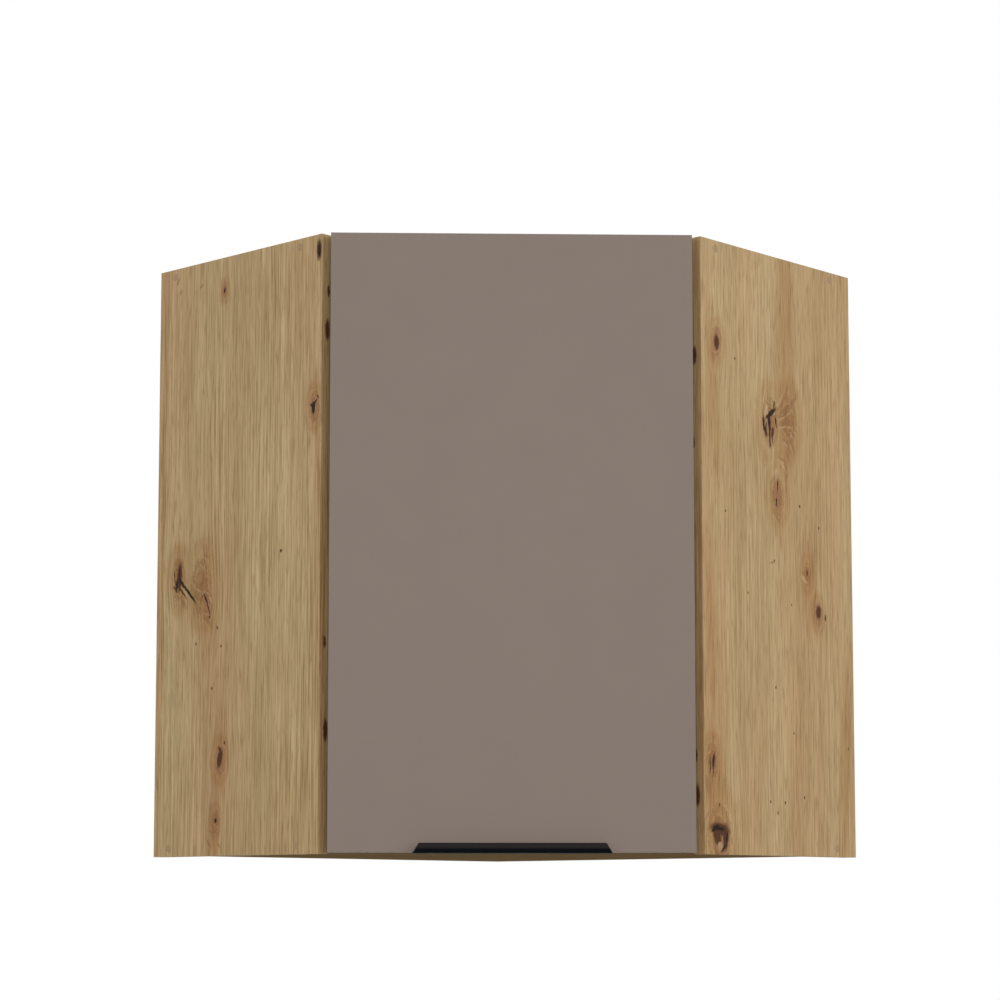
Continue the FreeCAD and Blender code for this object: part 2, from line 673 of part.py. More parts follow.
def hinge_cup(height):
    centre = Vec(CUP_X, DOOR_BACK_Y, height)
    shell = rod(CUP_R, centre, Y * -1, CUP_DEPTH)
    ring = rod(FLANGE_R, centre, Y, FLANGE)
    trim = box(Vec(CUP_X - FLANGE_R - OVERRUN, DOOR_BACK_Y, height - FLANGE_R - OVERRUN),
               Vec(CUP_X - FLANGE_CUT, DOOR_BACK_Y + FLANGE + OVERRUN, height + FLANGE_R + OVERRUN))
    half = EAR_PITCH / 2 + EAR_END
    ears = box(Vec(CUP_X + EAR_SHIFT - EAR_WIDTH / 2, DOOR_BACK_Y, height - half),
               Vec(CUP_X + EAR_SHIFT + EAR_WIDTH / 2, DOOR_BACK_Y + FLANGE, height + half))
    corners = [edge for edge in ears.Edges if abs(edge.Length - FLANGE) < FIT]
    ears = ears.makeFillet(EAR_END - FIT, corners)
    hollow = rod(CUP_R - CUP_WALL, centre + Y * (FLANGE + OVERRUN), Y * -1,
                 CUP_DEPTH - CUP_WALL + FLANGE + OVERRUN)
    body = shell.fuse([ring, ears])
    return cut(body, [trim, hollow, hinge_pin(height, FIT)] + cup_screws(height, FIT))


# The arm and its plate belong to the left side. Their frame follows the side panel:
# along runs backwards from the panel's front edge, off points away from its inner face.
ALONG = Vec(-1, 1, 0) / ROOT2
OFF = Vec(1, 1, 0) / ROOT2
EDGE = Vec(-(WALL_RUN - SIDE_DEPTH) / ROOT2 + BOARD / ROOT2, INNER_Y, 0)


def beside(along, off, z):
    return EDGE + ALONG * along + OFF * off + Vec(0, 0, z)


def beside_box(along, off, z):
    """Box in the side panel's frame; each argument is a pair, low and high."""
    plan = [beside(along[i], off[j], z[0]) for i, j in ((0, 0), (1, 0), (1, 1), (0, 1))]
    return Part.Face(Part.makePolygon(plan + plan[:1])).extrude(Vec(0, 0, z[1] - z[0]))


def plate_screws(height, play=0.0):
    return [flat_head_screw(beside(PLATE_FROM_EDGE, PLATE_WING_THICK, height + way * HOLE_STEP / 2),
                            OFF, PLATE_SCREW_HEAD_R, PLATE_SCREW_HEAD, PLATE_SCREW_R,
                            PLATE_WING_THICK + PLATE_SCREW_IN - FIT, play)
            for way in (-1, 1)]


def hinge_plate(height):
    wings = beside_box((PLATE_FROM_EDGE - PLATE_WING / 2, PLATE_FROM_EDGE + PLATE_WING / 2),
                       (0, PLATE_WING_THICK), (height - PLATE_WING_TALL / 2, height + PLATE_WING_TALL / 2))
    block = beside_box((PLATE_FROM_EDGE - PLATE_BLOCK / 2, PLATE_FROM_EDGE + PLATE_BLOCK / 2),
                       (0, PLATE_BLOCK_THICK), (height - PLATE_BLOCK_TALL / 2, height + PLATE_BLOCK_TALL / 2))
    return cut(wings.fuse(block), plate_screws(height, FIT) + arm_screws(height, FIT))


def arm_screws(height, play=0.0):
    return [flat_head_screw(beside(PLATE_FROM_EDGE + place, ARM_TOP, height), OFF, ARM_SCREW_HEAD_R,
                            ARM_SCREW_HEAD, ARM_SCREW_R, ARM_SCREW_IN, play)
            for place in (-SIDE_SCREW, FIX_SCREW)]


def hinge_neck(height):
    """Curved neck from the axis out of the cup and round the door's edge to the arm."""
    axis = Vec(AXIS_X, AXIS_Y, height - KNUCKLE_TALL / 2)
    start = axis + Vec(0, -NECK_DROP, 0)
    first = start + Vec(NECK_OUT, 0, 0)
    second = axis + Vec(NECK_OUT, NECK_BACK, 0)
    end = beside(ARM_START + ARM_NOSE / 2, ARM_NECK_JOIN, axis.z)
    path = rounded_path([start, first, second, end], NECK_BEND)
    face = path.makeOffset2D(NECK / 2, 0, True, False, False)
    neck = face.extrude(Vec(0, 0, KNUCKLE_TALL))
    return neck.fuse(rod(KNUCKLE_R, axis, Z, KNUCKLE_TALL))


def rounded_path(points, radius):
    """Straight runs joined by arcs of one radius."""
    edges = []
    last = points[0]
    for before, corner, after in zip(points, points[1:], points[2:]):
        toward = (before - corner).normalize()
        away = (after - corner).normalize()
        half = toward.getAngle(away) / 2
        reach = radius / math.tan(half)
        middle = (toward + away).normalize()
        centre = corner + middle * (radius / math.sin(half))
        edges.append(Part.makeLine(last, corner + toward * reach))
        edges.append(Part.Arc(corner + toward * reach, centre - middle * radius,
                              corner + away * reach).toShape())
        last = corner + away * reach
    edges.append(Part.makeLine(last, points[-1]))
    return Part.Wire(edges)


def hinge_arm(height):
    half = ARM_TALL / 2
    channel = beside_box((ARM_START, ARM_START + ARM_LENGTH), (ARM_OFF_PANEL, ARM_TOP),
                         (height - half, height + half))
    inside = beside_box((ARM_START + ARM_NOSE, ARM_START + ARM_LENGTH + OVERRUN),
                        (0, ARM_TOP - ARM_SHEET), (height - half + ARM_SHEET, height + half - ARM_SHEET))
    channel = channel.cut(inside)
    nose = beside(ARM_START, ARM_TOP, height)
    channel = channel.makeFillet(ARM_ROUND, [edge for edge in channel.Edges
                                             if (edge.CenterOfMass - nose).Length < FIT])
    bore = rod(HINGE_PIN_R + FIT, Vec(AXIS_X, AXIS_Y, height - KNUCKLE_TALL), Z, 2 * KNUCKLE_TALL)
    return cut(channel.fuse(hinge_neck(height)), [bore] + arm_screws(height, FIT))


def main():
    os.makedirs("parts", exist_ok=True)
    left_drill = side_screws(False, FIT) + dowels(False, FIT)
    right_drill = [swap_walls(item) for item in side_screws(True, FIT) + dowels(True, FIT)]
    nail_tools = left_nails(FIT) + right_nails(FIT)
    panel_tools = left_drill + right_drill + nail_tools + post_screws(FIT)

    export("left_side_panel", in_room(side_panel(False)))
    export("right_side_panel", in_room(swap_walls(side_panel(True))))
    export("side_panel_edge_bands", [in_room(side_band()), in_room(swap_walls(side_band()))])
    export("top_panel", in_room(cross_panel(TOP_Z, panel_tools)))
    export("bottom_panel", in_room(cross_panel(END_INSET, panel_tools)))
    export("top_and_bottom_edge_bands",
           [in_room(front_band(SIDE_INNER, FRONT_SUM, z)) for z in (END_INSET, TOP_Z)])
    side, front_sum = shelf_sums()
    for name, height in zip(("lower", "upper"), SHELF_ZS):
        export(name + "_shelf", in_room(shelf(height)))
    export("shelf_edge_bands",
           [in_room(front_band(side, front_sum, shelf_bottom(height))) for height in SHELF_ZS])
    export("rear_corner_post", in_room(corner_post()))
    export("left_back_panel", in_room(back_panel(0, left_nails(FIT))))
    export("right_back_panel", in_room(swap_walls(back_panel(BACK_BOARD + BACK_GAP, [
        swap_walls(item) for item in right_nails(FIT)]))))

    export("carcass_screws", [in_room(item) for item in side_screws(False) + post_screws()]
           + [in_room(swap_walls(item)) for item in side_screws(True)])
    export("screw_cover_caps", [in_room(item) for item in caps(False)]
           + [in_room(swap_walls(item)) for item in caps(True)])
    export("wooden_dowels", [in_room(item) for item in dowels(False)]
           + [in_room(swap_walls(item)) for item in dowels(True)])
    export("back_panel_nails", [in_room(item) for item in left_nails() + right_nails()])
    export("shelf_pins", [in_room(item) for item in all_pins()])

    for name, maker in (("hanging_bracket_housings", hanger_housing),
                        ("hanging_bracket_hooks", hanger_hook)):
        piece = in_room(maker())
        export(name, [piece, mirrored(piece)])
    for name, screws in (("hanging_bracket_adjusting_screws", adjusting_screws()),
                         ("hanging_bracket_fixing_screws", hanger_screws())):
        pieces = [in_room(item) for item in screws]
        export(name, pieces + [mirrored(item) for item in pieces])

    export("hinge_mounting_plates", [hinge_plate(height) for height in HINGE_ZS])
    export("hinge_plate_screws", [item for height in HINGE_ZS for item in plate_screws(height)])
    export("hinge_arms", [hinge_arm(height) for height in HINGE_ZS])
    export("hinge_arm_screws", [item for height in HINGE_ZS for item in arm_screws(height)])
    export("hinge_cups", [hinge_cup(height) for height in HINGE_ZS])
    export("hinge_cup_screws", [item for height in HINGE_ZS for item in cup_screws(height)])
    export("hinge_pins", [hinge_pin(height) for height in HINGE_ZS])

    export("door_panel", door_core())
    export("door_edge_bands", door_bands())
    export("door_bumpers", bumpers())
    export("edge_handle", handle())
    export("handle_screws", grip_screws())


main()
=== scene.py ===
# Looks of the diagonal corner wall cabinet, in metres, in the frame of its CAD model.
# +X is to the right of someone facing the door, +Y points into the wall corner, +Z is up.
import math

import bmesh
import bpy
from mathutils import Matrix, Vector


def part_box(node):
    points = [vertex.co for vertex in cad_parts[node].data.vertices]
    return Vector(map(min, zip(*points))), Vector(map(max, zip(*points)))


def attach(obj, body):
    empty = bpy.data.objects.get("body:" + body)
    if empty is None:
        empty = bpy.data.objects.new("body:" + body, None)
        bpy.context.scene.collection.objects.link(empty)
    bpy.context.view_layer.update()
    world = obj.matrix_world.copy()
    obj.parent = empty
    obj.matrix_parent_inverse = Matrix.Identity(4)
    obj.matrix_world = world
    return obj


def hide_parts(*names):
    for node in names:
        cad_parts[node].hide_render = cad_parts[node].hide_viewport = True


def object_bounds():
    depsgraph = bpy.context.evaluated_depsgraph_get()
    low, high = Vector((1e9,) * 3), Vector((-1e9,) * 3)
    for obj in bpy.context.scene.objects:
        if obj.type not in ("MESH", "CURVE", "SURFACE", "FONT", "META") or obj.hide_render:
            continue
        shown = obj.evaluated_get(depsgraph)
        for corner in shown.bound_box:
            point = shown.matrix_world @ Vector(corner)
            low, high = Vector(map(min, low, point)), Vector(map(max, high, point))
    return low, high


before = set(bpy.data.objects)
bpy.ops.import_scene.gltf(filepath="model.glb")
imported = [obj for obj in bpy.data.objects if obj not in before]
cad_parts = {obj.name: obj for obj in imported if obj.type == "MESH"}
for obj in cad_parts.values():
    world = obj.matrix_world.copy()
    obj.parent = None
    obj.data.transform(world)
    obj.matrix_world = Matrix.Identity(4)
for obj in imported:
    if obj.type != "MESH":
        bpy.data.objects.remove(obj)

bl_info = {
    "name": "Corner Wall Cabinet",
    "version": (1, 0, 0),
    "blender": (4, 5, 0),
    "location": "View3D > Sidebar > Cabinet",
    "description": "Dresses the frame of a corner wall cabinet in oak board, taupe lacquer and black metal",
    "category": "Object",
}

MM = 0.001
CAD_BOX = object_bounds()

# Working limits of the mesh code
MERGE = 0.002 * MM
FLAT_ANGLE = math.radians(1)
SHARP_ANGLE = math.radians(35)
FLAT_AREA = (12 * MM) ** 2  # a face over this is shaded flat, so that eased edges don't tint it
FACE_SHARE = 0.7            # how square to the board a face is, to count as its decor face
EASE_STEPS = 2              # faces across an eased edge
TURN_STEPS = 32             # and round a turned piece
FLOOR_STEPS = 96            # and round the floor

# Shortest edges that are eased on each kind of piece, so that drilled holes and threads keep their form
BOARD_SHORTEST = 12 * MM
HOUSING_SHORTEST = 6 * MM
NAIL_SHORTEST = 5 * MM
HANDLE_SHORTEST = 2 * MM
METAL_SHORTEST = 0.6 * MM
PIN_SHORTEST = 0.3 * MM

# Places worked out from the frame: the sides' outer front and rear corners
SIDE_FAR_X = -CAD_BOX[0].x
SIDE_FAR_Y = CAD_BOX[1].y - SIDE_FAR_X
FACE_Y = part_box("side_panel_edge_bands")[0].y
SIDE_NEAR_X = SIDE_FAR_X - (SIDE_FAR_Y - FACE_Y)
ROOT_HALF = math.sqrt(0.5)
LEFT_OUT = Vector((-ROOT_HALF, -ROOT_HALF, 0))
RIGHT_OUT = Vector((ROOT_HALF, -ROOT_HALF, 0))
UP = Vector((0, 0, 1))


def linear(colour):
    """Linear colour of an sRGB hex value, as shaders and lamps take it."""
    channels = [int(colour[i:i + 2], 16) / 255 for i in (1, 3, 5)]
    bent = [c / 12.92 if c <= 0.04045 else ((c + 0.055) / 1.055) ** 2.4 for c in channels]
    return (*bent, 1.0)


# Sizes and colours that a user would change
class BoardSettings(bpy.types.PropertyGroup):
    edge_ease: bpy.props.FloatProperty(
        name="Board edge", description="Rounding of the cut edges of the boards",
        default=0.15 * MM, unit="LENGTH")
    band_ease: bpy.props.FloatProperty(
        name="Band edge", description="Rounding of the oak edge bands",
        default=0.6 * MM, unit="LENGTH")
    oak_dark: bpy.props.FloatVectorProperty(
        name="Oak grain", description="Colour of the dark lines of the printed oak",
        default=linear("#8D7249"), size=4, subtype="COLOR")
    oak_mid: bpy.props.FloatVectorProperty(
        name="Oak", description="Main colour of the printed oak",
        default=linear("#B09771"), size=4, subtype="COLOR")
    oak_pale: bpy.props.FloatVectorProperty(
        name="Pale oak", description="Colour of the pale streaks of the printed oak",
        default=linear("#C6AE88"), size=4, subtype="COLOR")


class DoorSettings(bpy.types.PropertyGroup):
    lacquer: bpy.props.FloatVectorProperty(
        name="Lacquer", description="Colour of the door's matt lacquer",
        default=linear("#776A61"), size=4, subtype="COLOR")
    handle_ease: bpy.props.FloatProperty(
        name="Handle edge", description="Rounding of the handle's edges",
        default=0.35 * MM, unit="LENGTH")
    handle_colour: bpy.props.FloatVectorProperty(
        name="Handle", description="Colour of the handle's black finish",
        default=linear("#272323"), size=4, subtype="COLOR")


class FittingSettings(bpy.types.PropertyGroup):
    cap_dome: bpy.props.FloatProperty(
        name="Cap dome", description="Height of a screw cover cap's domed middle over its rim",
        default=0.15 * MM, unit="LENGTH")
    metal_ease: bpy.props.FloatProperty(
        name="Metal edge", description="Rounding of the edges of pressed and turned metal",
        default=0.15 * MM, unit="LENGTH")
    plastic_ease: bpy.props.FloatProperty(
        name="Plastic edge", description="Rounding of the edges of moulded plastic",
        default=0.4 * MM, unit="LENGTH")


class StageSettings(bpy.types.PropertyGroup):
    floor_drop: bpy.props.FloatProperty(
        name="Floor drop", description="Height of the hung cabinet over the floor",
        default=0.45, unit="LENGTH")
    floor_radius: bpy.props.FloatProperty(
        name="Floor radius", description="Radius of the round floor",
        default=6.0, unit="LENGTH")
    fade_start: bpy.props.FloatProperty(
        name="Fade start", description="Distance from the cabinet where the floor starts to turn white",
        default=0.9, unit="LENGTH")
    fade_end: bpy.props.FloatProperty(
        name="Fade end", description="Distance from the cabinet where the floor is plain white",
        default=2.4, unit="LENGTH")
    lens: bpy.props.FloatProperty(
        name="Lens", description="Focal length of the camera, in millimetres",
        default=97.73)
    sky: bpy.props.FloatProperty(
        name="Sky light", description="Strength of the even light from all round",
        default=0.58)


# Meshes
def merged_mesh(node):
    """A copy of a CAD piece as one clean mesh, with its flat faces whole."""
    mesh = bmesh.new()
    mesh.from_mesh(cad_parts[node].data)
    bmesh.ops.remove_doubles(mesh, verts=mesh.verts, dist=MERGE)
    bmesh.ops.dissolve_limit(mesh, angle_limit=FLAT_ANGLE, verts=mesh.verts, edges=mesh.edges)
    return mesh


def ease_edges(mesh, ease, shortest):
    """Round the sharp edges that are longer than shortest."""
    sharp = [edge for edge in mesh.edges
             if edge.is_manifold and edge.calc_length() > shortest and edge.calc_face_angle() > SHARP_ANGLE]
    bmesh.ops.bevel(mesh, geom=sharp, offset=ease, segments=EASE_STEPS, profile=0.5,
                    affect="EDGES", clamp_overlap=True, material=-1)


def written(name, mesh):
    """The mesh data that a finished bmesh becomes."""
    data = bpy.data.meshes.new(name)
    mesh.to_mesh(data)
    mesh.free()
    return data


def placed(name, data):
    """An object with the data, put into the scene."""
    made = bpy.data.objects.new(name, data)
    bpy.context.scene.collection.objects.link(made)
    return made


def finish_piece(name, body, mesh, finishes, node):
    """Make the object of a finished mesh, riding on its body in place of a CAD node."""
    data = written(name, mesh)
    for finish in finishes:
        data.materials.append(finish)
    data.set_sharp_from_angle(angle=SHARP_ANGLE)
    for face in data.polygons:
        face.use_smooth = face.area < FLAT_AREA
    made = placed(name, data)
    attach(made, body)
    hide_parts(node)


def refined(name, body, node, ease, shortest, finishes, normal=None, both=True, side=0):
    """A CAD piece with its edges eased. On a board, only the face along normal, or both broad faces, has
    the first finish. A side of -1 or 1 keeps only the node's solids on the left or the right."""
    mesh = merged_mesh(node)
    bmesh.ops.delete(mesh, geom=[vert for vert in mesh.verts if vert.co.x * side < 0], context="VERTS")
    if normal is not None:
        for face in mesh.faces:
            facing = face.normal.dot(normal)
            face.material_index = 0 if facing > FACE_SHARE or (both and facing < -FACE_SHARE) else 1
    ease_edges(mesh, ease, shortest)
    finish_piece(name, body, mesh, finishes, node)


def solid_boxes(node):
    """Lowest and highest corner of each solid of a CAD node."""
    mesh = merged_mesh(node)
    left = set(mesh.verts)
    found = []
    while left:
        start = left.pop()
        reached = [start]
        for vert in reached:
            for edge in vert.link_edges:
                other = edge.other_vert(vert)
                if other in left:
                    left.discard(other)
                    reached.append(other)
        low = Vector([min(vert.co[i] for vert in reached) for i in range(3)])
        high = Vector([max(vert.co[i] for vert in reached) for i in range(3)])
        found.append((low, high))
    mesh.free()
    return found


def add_turned(mesh, outline, place):
    """Add a turned shape: outline is a list of (radius, height), and place its matrix."""
    shape = bmesh.new()
    verts = [shape.verts.new((radius, 0, height)) for radius, height in outline]
    edges = [shape.edges.new(pair) for pair in zip(verts, verts[1:])]
    bmesh.ops.spin(shape, geom=verts + edges, cent=(0, 0, 0), axis=(0, 0, 1), angle=math.tau,
                   steps=TURN_STEPS, use_merge=True)
    bmesh.ops.remove_doubles(shape, verts=shape.verts, dist=MERGE)
    bmesh.ops.recalc_face_normals(shape, faces=shape.faces)
    bmesh.ops.transform(shape, matrix=place, verts=shape.verts)
    data = written("turned", shape)
    mesh.from_mesh(data)
    bpy.data.meshes.remove(data)


def standing(foot, direction):
    """Matrix that stands a turned shape on foot, with its height along direction."""
    return Matrix.Translation(foot) @ direction.to_track_quat("Z", "Y").to_matrix().to_4x4()


# Materials
def join(tree, given, socket):
    """Give a socket a value, another socket, or the output of a node."""
    if isinstance(given, bpy.types.Node):
        given = next(output for output in given.outputs if output.enabled)
    if isinstance(given, bpy.types.NodeSocket):
        tree.links.new(given, socket)
    else:
        socket.default_value = given


def add(tree, kind, *sockets, **settings):
    """Add a shader node. What its sockets get is given in their order, or by name in a dictionary."""
    node = tree.nodes.new("ShaderNode" + kind)
    for name, value in settings.items():
        setattr(node, name, value)
    for place, given in enumerate(sockets):
        for name, value in (given if isinstance(given, dict) else {place: given}).items():
            join(tree, value, node.inputs[name])
    return node


def set_ramp(ramp, places, colours):
    """Put linear colours at their places on a ramp node."""
    elements = ramp.color_ramp.elements
    for place in places[2:]:
        elements.new(place)
    for element, place, colour in zip(elements, places, colours):
        element.position = place
        element.color = colour
    return ramp


def new_material(name, **sockets):
    """A material with its shader set and joined to its output."""
    material = bpy.data.materials.new(name)
    material.use_nodes = True
    tree = material.node_tree
    tree.nodes.clear()
    shader = add(tree, "BsdfPrincipled", {word.replace("_", " "): value for word, value in sockets.items()})
    add(tree, "OutputMaterial", {"Surface": shader})
    return material, tree, shader


def in_mm(tree, turn=None, start=(0, 0, 0)):
    """Object coordinates in millimetres, turned so that X runs across the grain and Z along it."""
    euler = turn.to_euler() if turn else (0, 0, 0)
    return add(tree, "Mapping", add(tree, "TexCoord").outputs["Object"], {
        "Location": start, "Rotation": euler, "Scale": (1 / MM, 1 / MM, 1 / MM)})


# Oak decor: a printed paper under melamine. Knots bend the grain round them and are given as (across, up,
# half width, bend). Every other mark is a slim ellipse, (from across, from up, to across, to up, width).
# All are in millimetres, across the board from its front edge and up from its lower end.
KNOT_SHARE = 0.55           # width of a knot over its height
DOT_REACH = 1.3             # radius of a pinhole
RAGGED = 1.6                # how far the edge of a mark strays
WANDER = 3                  # how far the grain strays sideways
BEND_FALL = 1.7             # how fast the grain straightens away from a knot
STRAY = (120, 420)          # width and length of the marks of a layer
JAG = (3, 5)
CURL = (7, 5)
LINE = (3.1, 150)
GRAIN = {"calm": (65, 420), "fibre": (1.3, 50), "streak": (8, 280), "broad": (40, 520),
         "tint": (75, 900), "pore": (2.2, 26)}
GRAIN_WEIGHTS = {"fibre": 0.5, "streak": 0.16, "broad": 0.3}
LINE_MIDDLE = 0.42          # mean of the line layer
CALM_RANGE = (0.4, 0.62)    # values of the calm layer between which the lines get their full weight
CALM_WEIGHT = 0.3           # share of that weight which they keep where the grain is calm
THREE_TONES = (0.2, 0.5, 0.8)  # places of a dark, a middle and a pale colour on a ramp
TINT_RANGE = (0.36, 0.64)   # values of the tint layer between which the tint turns from cool to warm
PORE_RANGE = (0.54, 0.75)   # values of the pore layer at which a pore starts and is darkest
PORE_WEIGHT = 0.55
FILM_ROUGHNESS = (0.48, 0.62)  # of the smooth film and of its pores
JAG_WEIGHT = 0.9            # how far the knots' rings stray, in radii of the knot
RINGS_REACH = 4             # radii that a place of 1 in KNOT_RINGS stands for
CURL_WIDTH = 0.02           # how near to the middle of its noise a curled fibre is drawn
CURL_TWIST = 1.2
CURL_RANGE = (2.6, 1.1)     # radii from a knot's middle between which the curled fibres come in
CURL_WEIGHT = 0.8
KNOT_RINGS = ((0, "#D6C2B0"), (0.13, "#EADBCC"), (0.19, "#DAC7B4"), (0.24, "#FBF7F0"),
              (0.31, "#E6D8C8"), (0.37, "#FBF8F3"), (0.52, "#F4EBE1"), (0.7, "#FFFFFF"))
MARKS = (
    # kind, how far inside it is still gone, how far inside it is whole, strength, colour, blend
    ("stains", 0.1, 0.8, 0.8, "#EDE0D2", "MULTIPLY"),
    ("veins", 0.25, 0.8, 0.65, "#8A6444", "MIX"),
    ("gleams", 0.3, 0.8, 0.42, "#C6AC88", "MIX"),
    ("hearts", 0.1, 0.8, 0.6, "#91664A", "MIX"),
    ("cores", 0.3, 0.65, 0.92, "#452413", "MIX"),
    ("cracks", 0.44, 0.68, 0.96, "#180D06", "MIX"),
    ("dots", 0.35, 0.7, 0.9, "#3F2712", "MIX"),
)


def pinholes(places):
    """Strokes hardly longer than wide at the given places."""
    return [(across, up, across, up - DOT_REACH, 2 * DOT_REACH) for across, up in places]


PLAIN = {}
BAND_STAINS = [(-20, 716, -20, 0, 60)]
LEFT_BAND_FIGURE = {"stains": BAND_STAINS, "cores": [
    (10.5, 654, 10.5, 645, 4), (9, 612, 9, 595, 6.5), (7.8, 246, 7.8, 237, 4), (10, 150, 10, 131, 6.5)]}
RIGHT_BAND_FIGURE = {"stains": BAND_STAINS, "cores": [
    (9.8, 584, 9.8, 569, 6), (9.8, 76, 9.8, 58, 6.5), (12, 480, 12, 470, 3.5), (12, 119, 12, 107, 4)]}
LEFT_FIGURE = {
    "knots": [
        (12.5, 514, 7, 12), (171, 112, 7, 13), (177.5, 41, 5, 12), (250, 333, 10, 18), (208, 322, 13, 20),
        (198, 300, 8, 12), (171, 676, 4, 8)],
    "dots": pinholes([
        (66.8, 351.8), (215.8, 253.6), (171, 248), (186.2, 198.4), (162.9, 133), (177.9, 270.3),
        (192.1, 283.9), (6, 526.1)]),
    "cracks": [
        (248.5, 333, 216.3, 301.1, 4.2), (252.9, 327.1, 233.7, 308.1, 2.4), (249.5, 334, 238, 322, 5),
        (202.6, 311.2, 195.9, 299.8, 3.1), (197.8, 302.9, 190.4, 284.2, 2),
        (247.8, 345.9, 248.4, 336.3, 2.4), (252.4, 331.7, 253.6, 322.1, 5.1), (7.6, 521.9, 14.4, 513.6, 3),
        (13, 518.1, 13, 508.3, 6.8), (18.5, 517.9, 13.9, 514.2, 2.8), (177.3, 42.5, 177.3, 40.5, 4.4),
        (170.5, 678.5, 171.4, 673.5, 3.4), (5, 702, 5, 692, 5.5)],
    "cores": [
        (169.3, 120.4, 172.4, 107.4, 8.2), (172.6, 127.1, 166.9, 119.7, 3.2),
        (258.3, 342.6, 255.5, 329, 1.6), (258.9, 324.6, 252.8, 318.5, 2.5),
        (247.3, 347.7, 248.8, 324.7, 8.7), (5, 705, 5, 690, 8.5), (5.2, 526.8, 4.9, 523.3, 1.6)],
    "hearts": [
        (13, 520, 13, 507, 12), (249, 350, 247, 330, 10), (171, 122, 171, 104, 13), (177, 45, 177, 37, 8),
        (171, 681, 171, 671, 9), (201, 313, 193, 290, 6)],
    "veins": [
        (251, 688, 254, 684, 3.5), (211, 689, 216, 685.5, 3), (256, 703, 259, 697, 4),
        (221.9, 329.1, 218.9, 326.4, 3.5), (216.1, 322.7, 212.4, 320.2, 3.8), (207.4, 321, 205, 318.3, 3.2),
        (213.7, 317.2, 211.5, 314.6, 3.5), (200.7, 329, 197.8, 327, 3.5), (199.2, 322.4, 197, 320.5, 2.8),
        (179, 272.1, 177.9, 268.4, 2.5), (199.2, 283.2, 191.8, 275.5, 5.4), (201.1, 358.5, 197, 355.4, 4.7),
        (207.8, 349.4, 204.1, 346.9, 4.1), (244.1, 308.8, 237.3, 299.5, 5.4),
        (196.6, 316.2, 190.4, 308.9, 3.2), (179.3, 105.3, 174.2, 100.2, 2.5),
        (165.8, 108.4, 174.2, 99.9, 2.2), (170.2, 99.6, 169.1, 94.8, 3.2), (185.6, 37.1, 180.4, 33.9, 1.9),
        (190, 29.5, 173.5, 26.2, 2.5), (190.7, 17, 185.6, 10.9, 4.1), (172.7, 14.3, 169.5, 10, 2.5),
        (64.6, 352.1, 67.2, 350.6, 2.5), (14.7, 506.2, 10.5, 498.7, 3.5), (162.2, 133.2, 161.4, 130.8, 2.5)],
    "gleams": [
        (247.1, 326.3, 228.7, 307.8, 1.7), (201.5, 315.2, 205.2, 312, 2.2),
        (201.5, 315.2, 194.4, 311.1, 1.9), (249.8, 340.6, 250.9, 327.3, 1.6),
        (173.8, 104.5, 168.7, 100.2, 2.2), (176.8, 107.6, 174.6, 103.3, 1.6), (9, 515.8, 7.6, 507.6, 1.9),
        (180.8, 37.1, 172.6, 33.4, 1.9), (219.7, 321.6, 207.6, 313.4, 1.6), (193.3, 308, 187.8, 300.3, 1.9)],
    "stains": [
        (199, 349, 199, 260, 24), (222, 315, 192, 272, 22), (170, 151, 173, 67, 22), (179, 50, 179, 5, 17),
        (11, 540, 12, 494, 13), (250, 361, 246, 298, 17), (8, 500, -9, 268, 5), (278, 682, 284, 22, 6)],
}
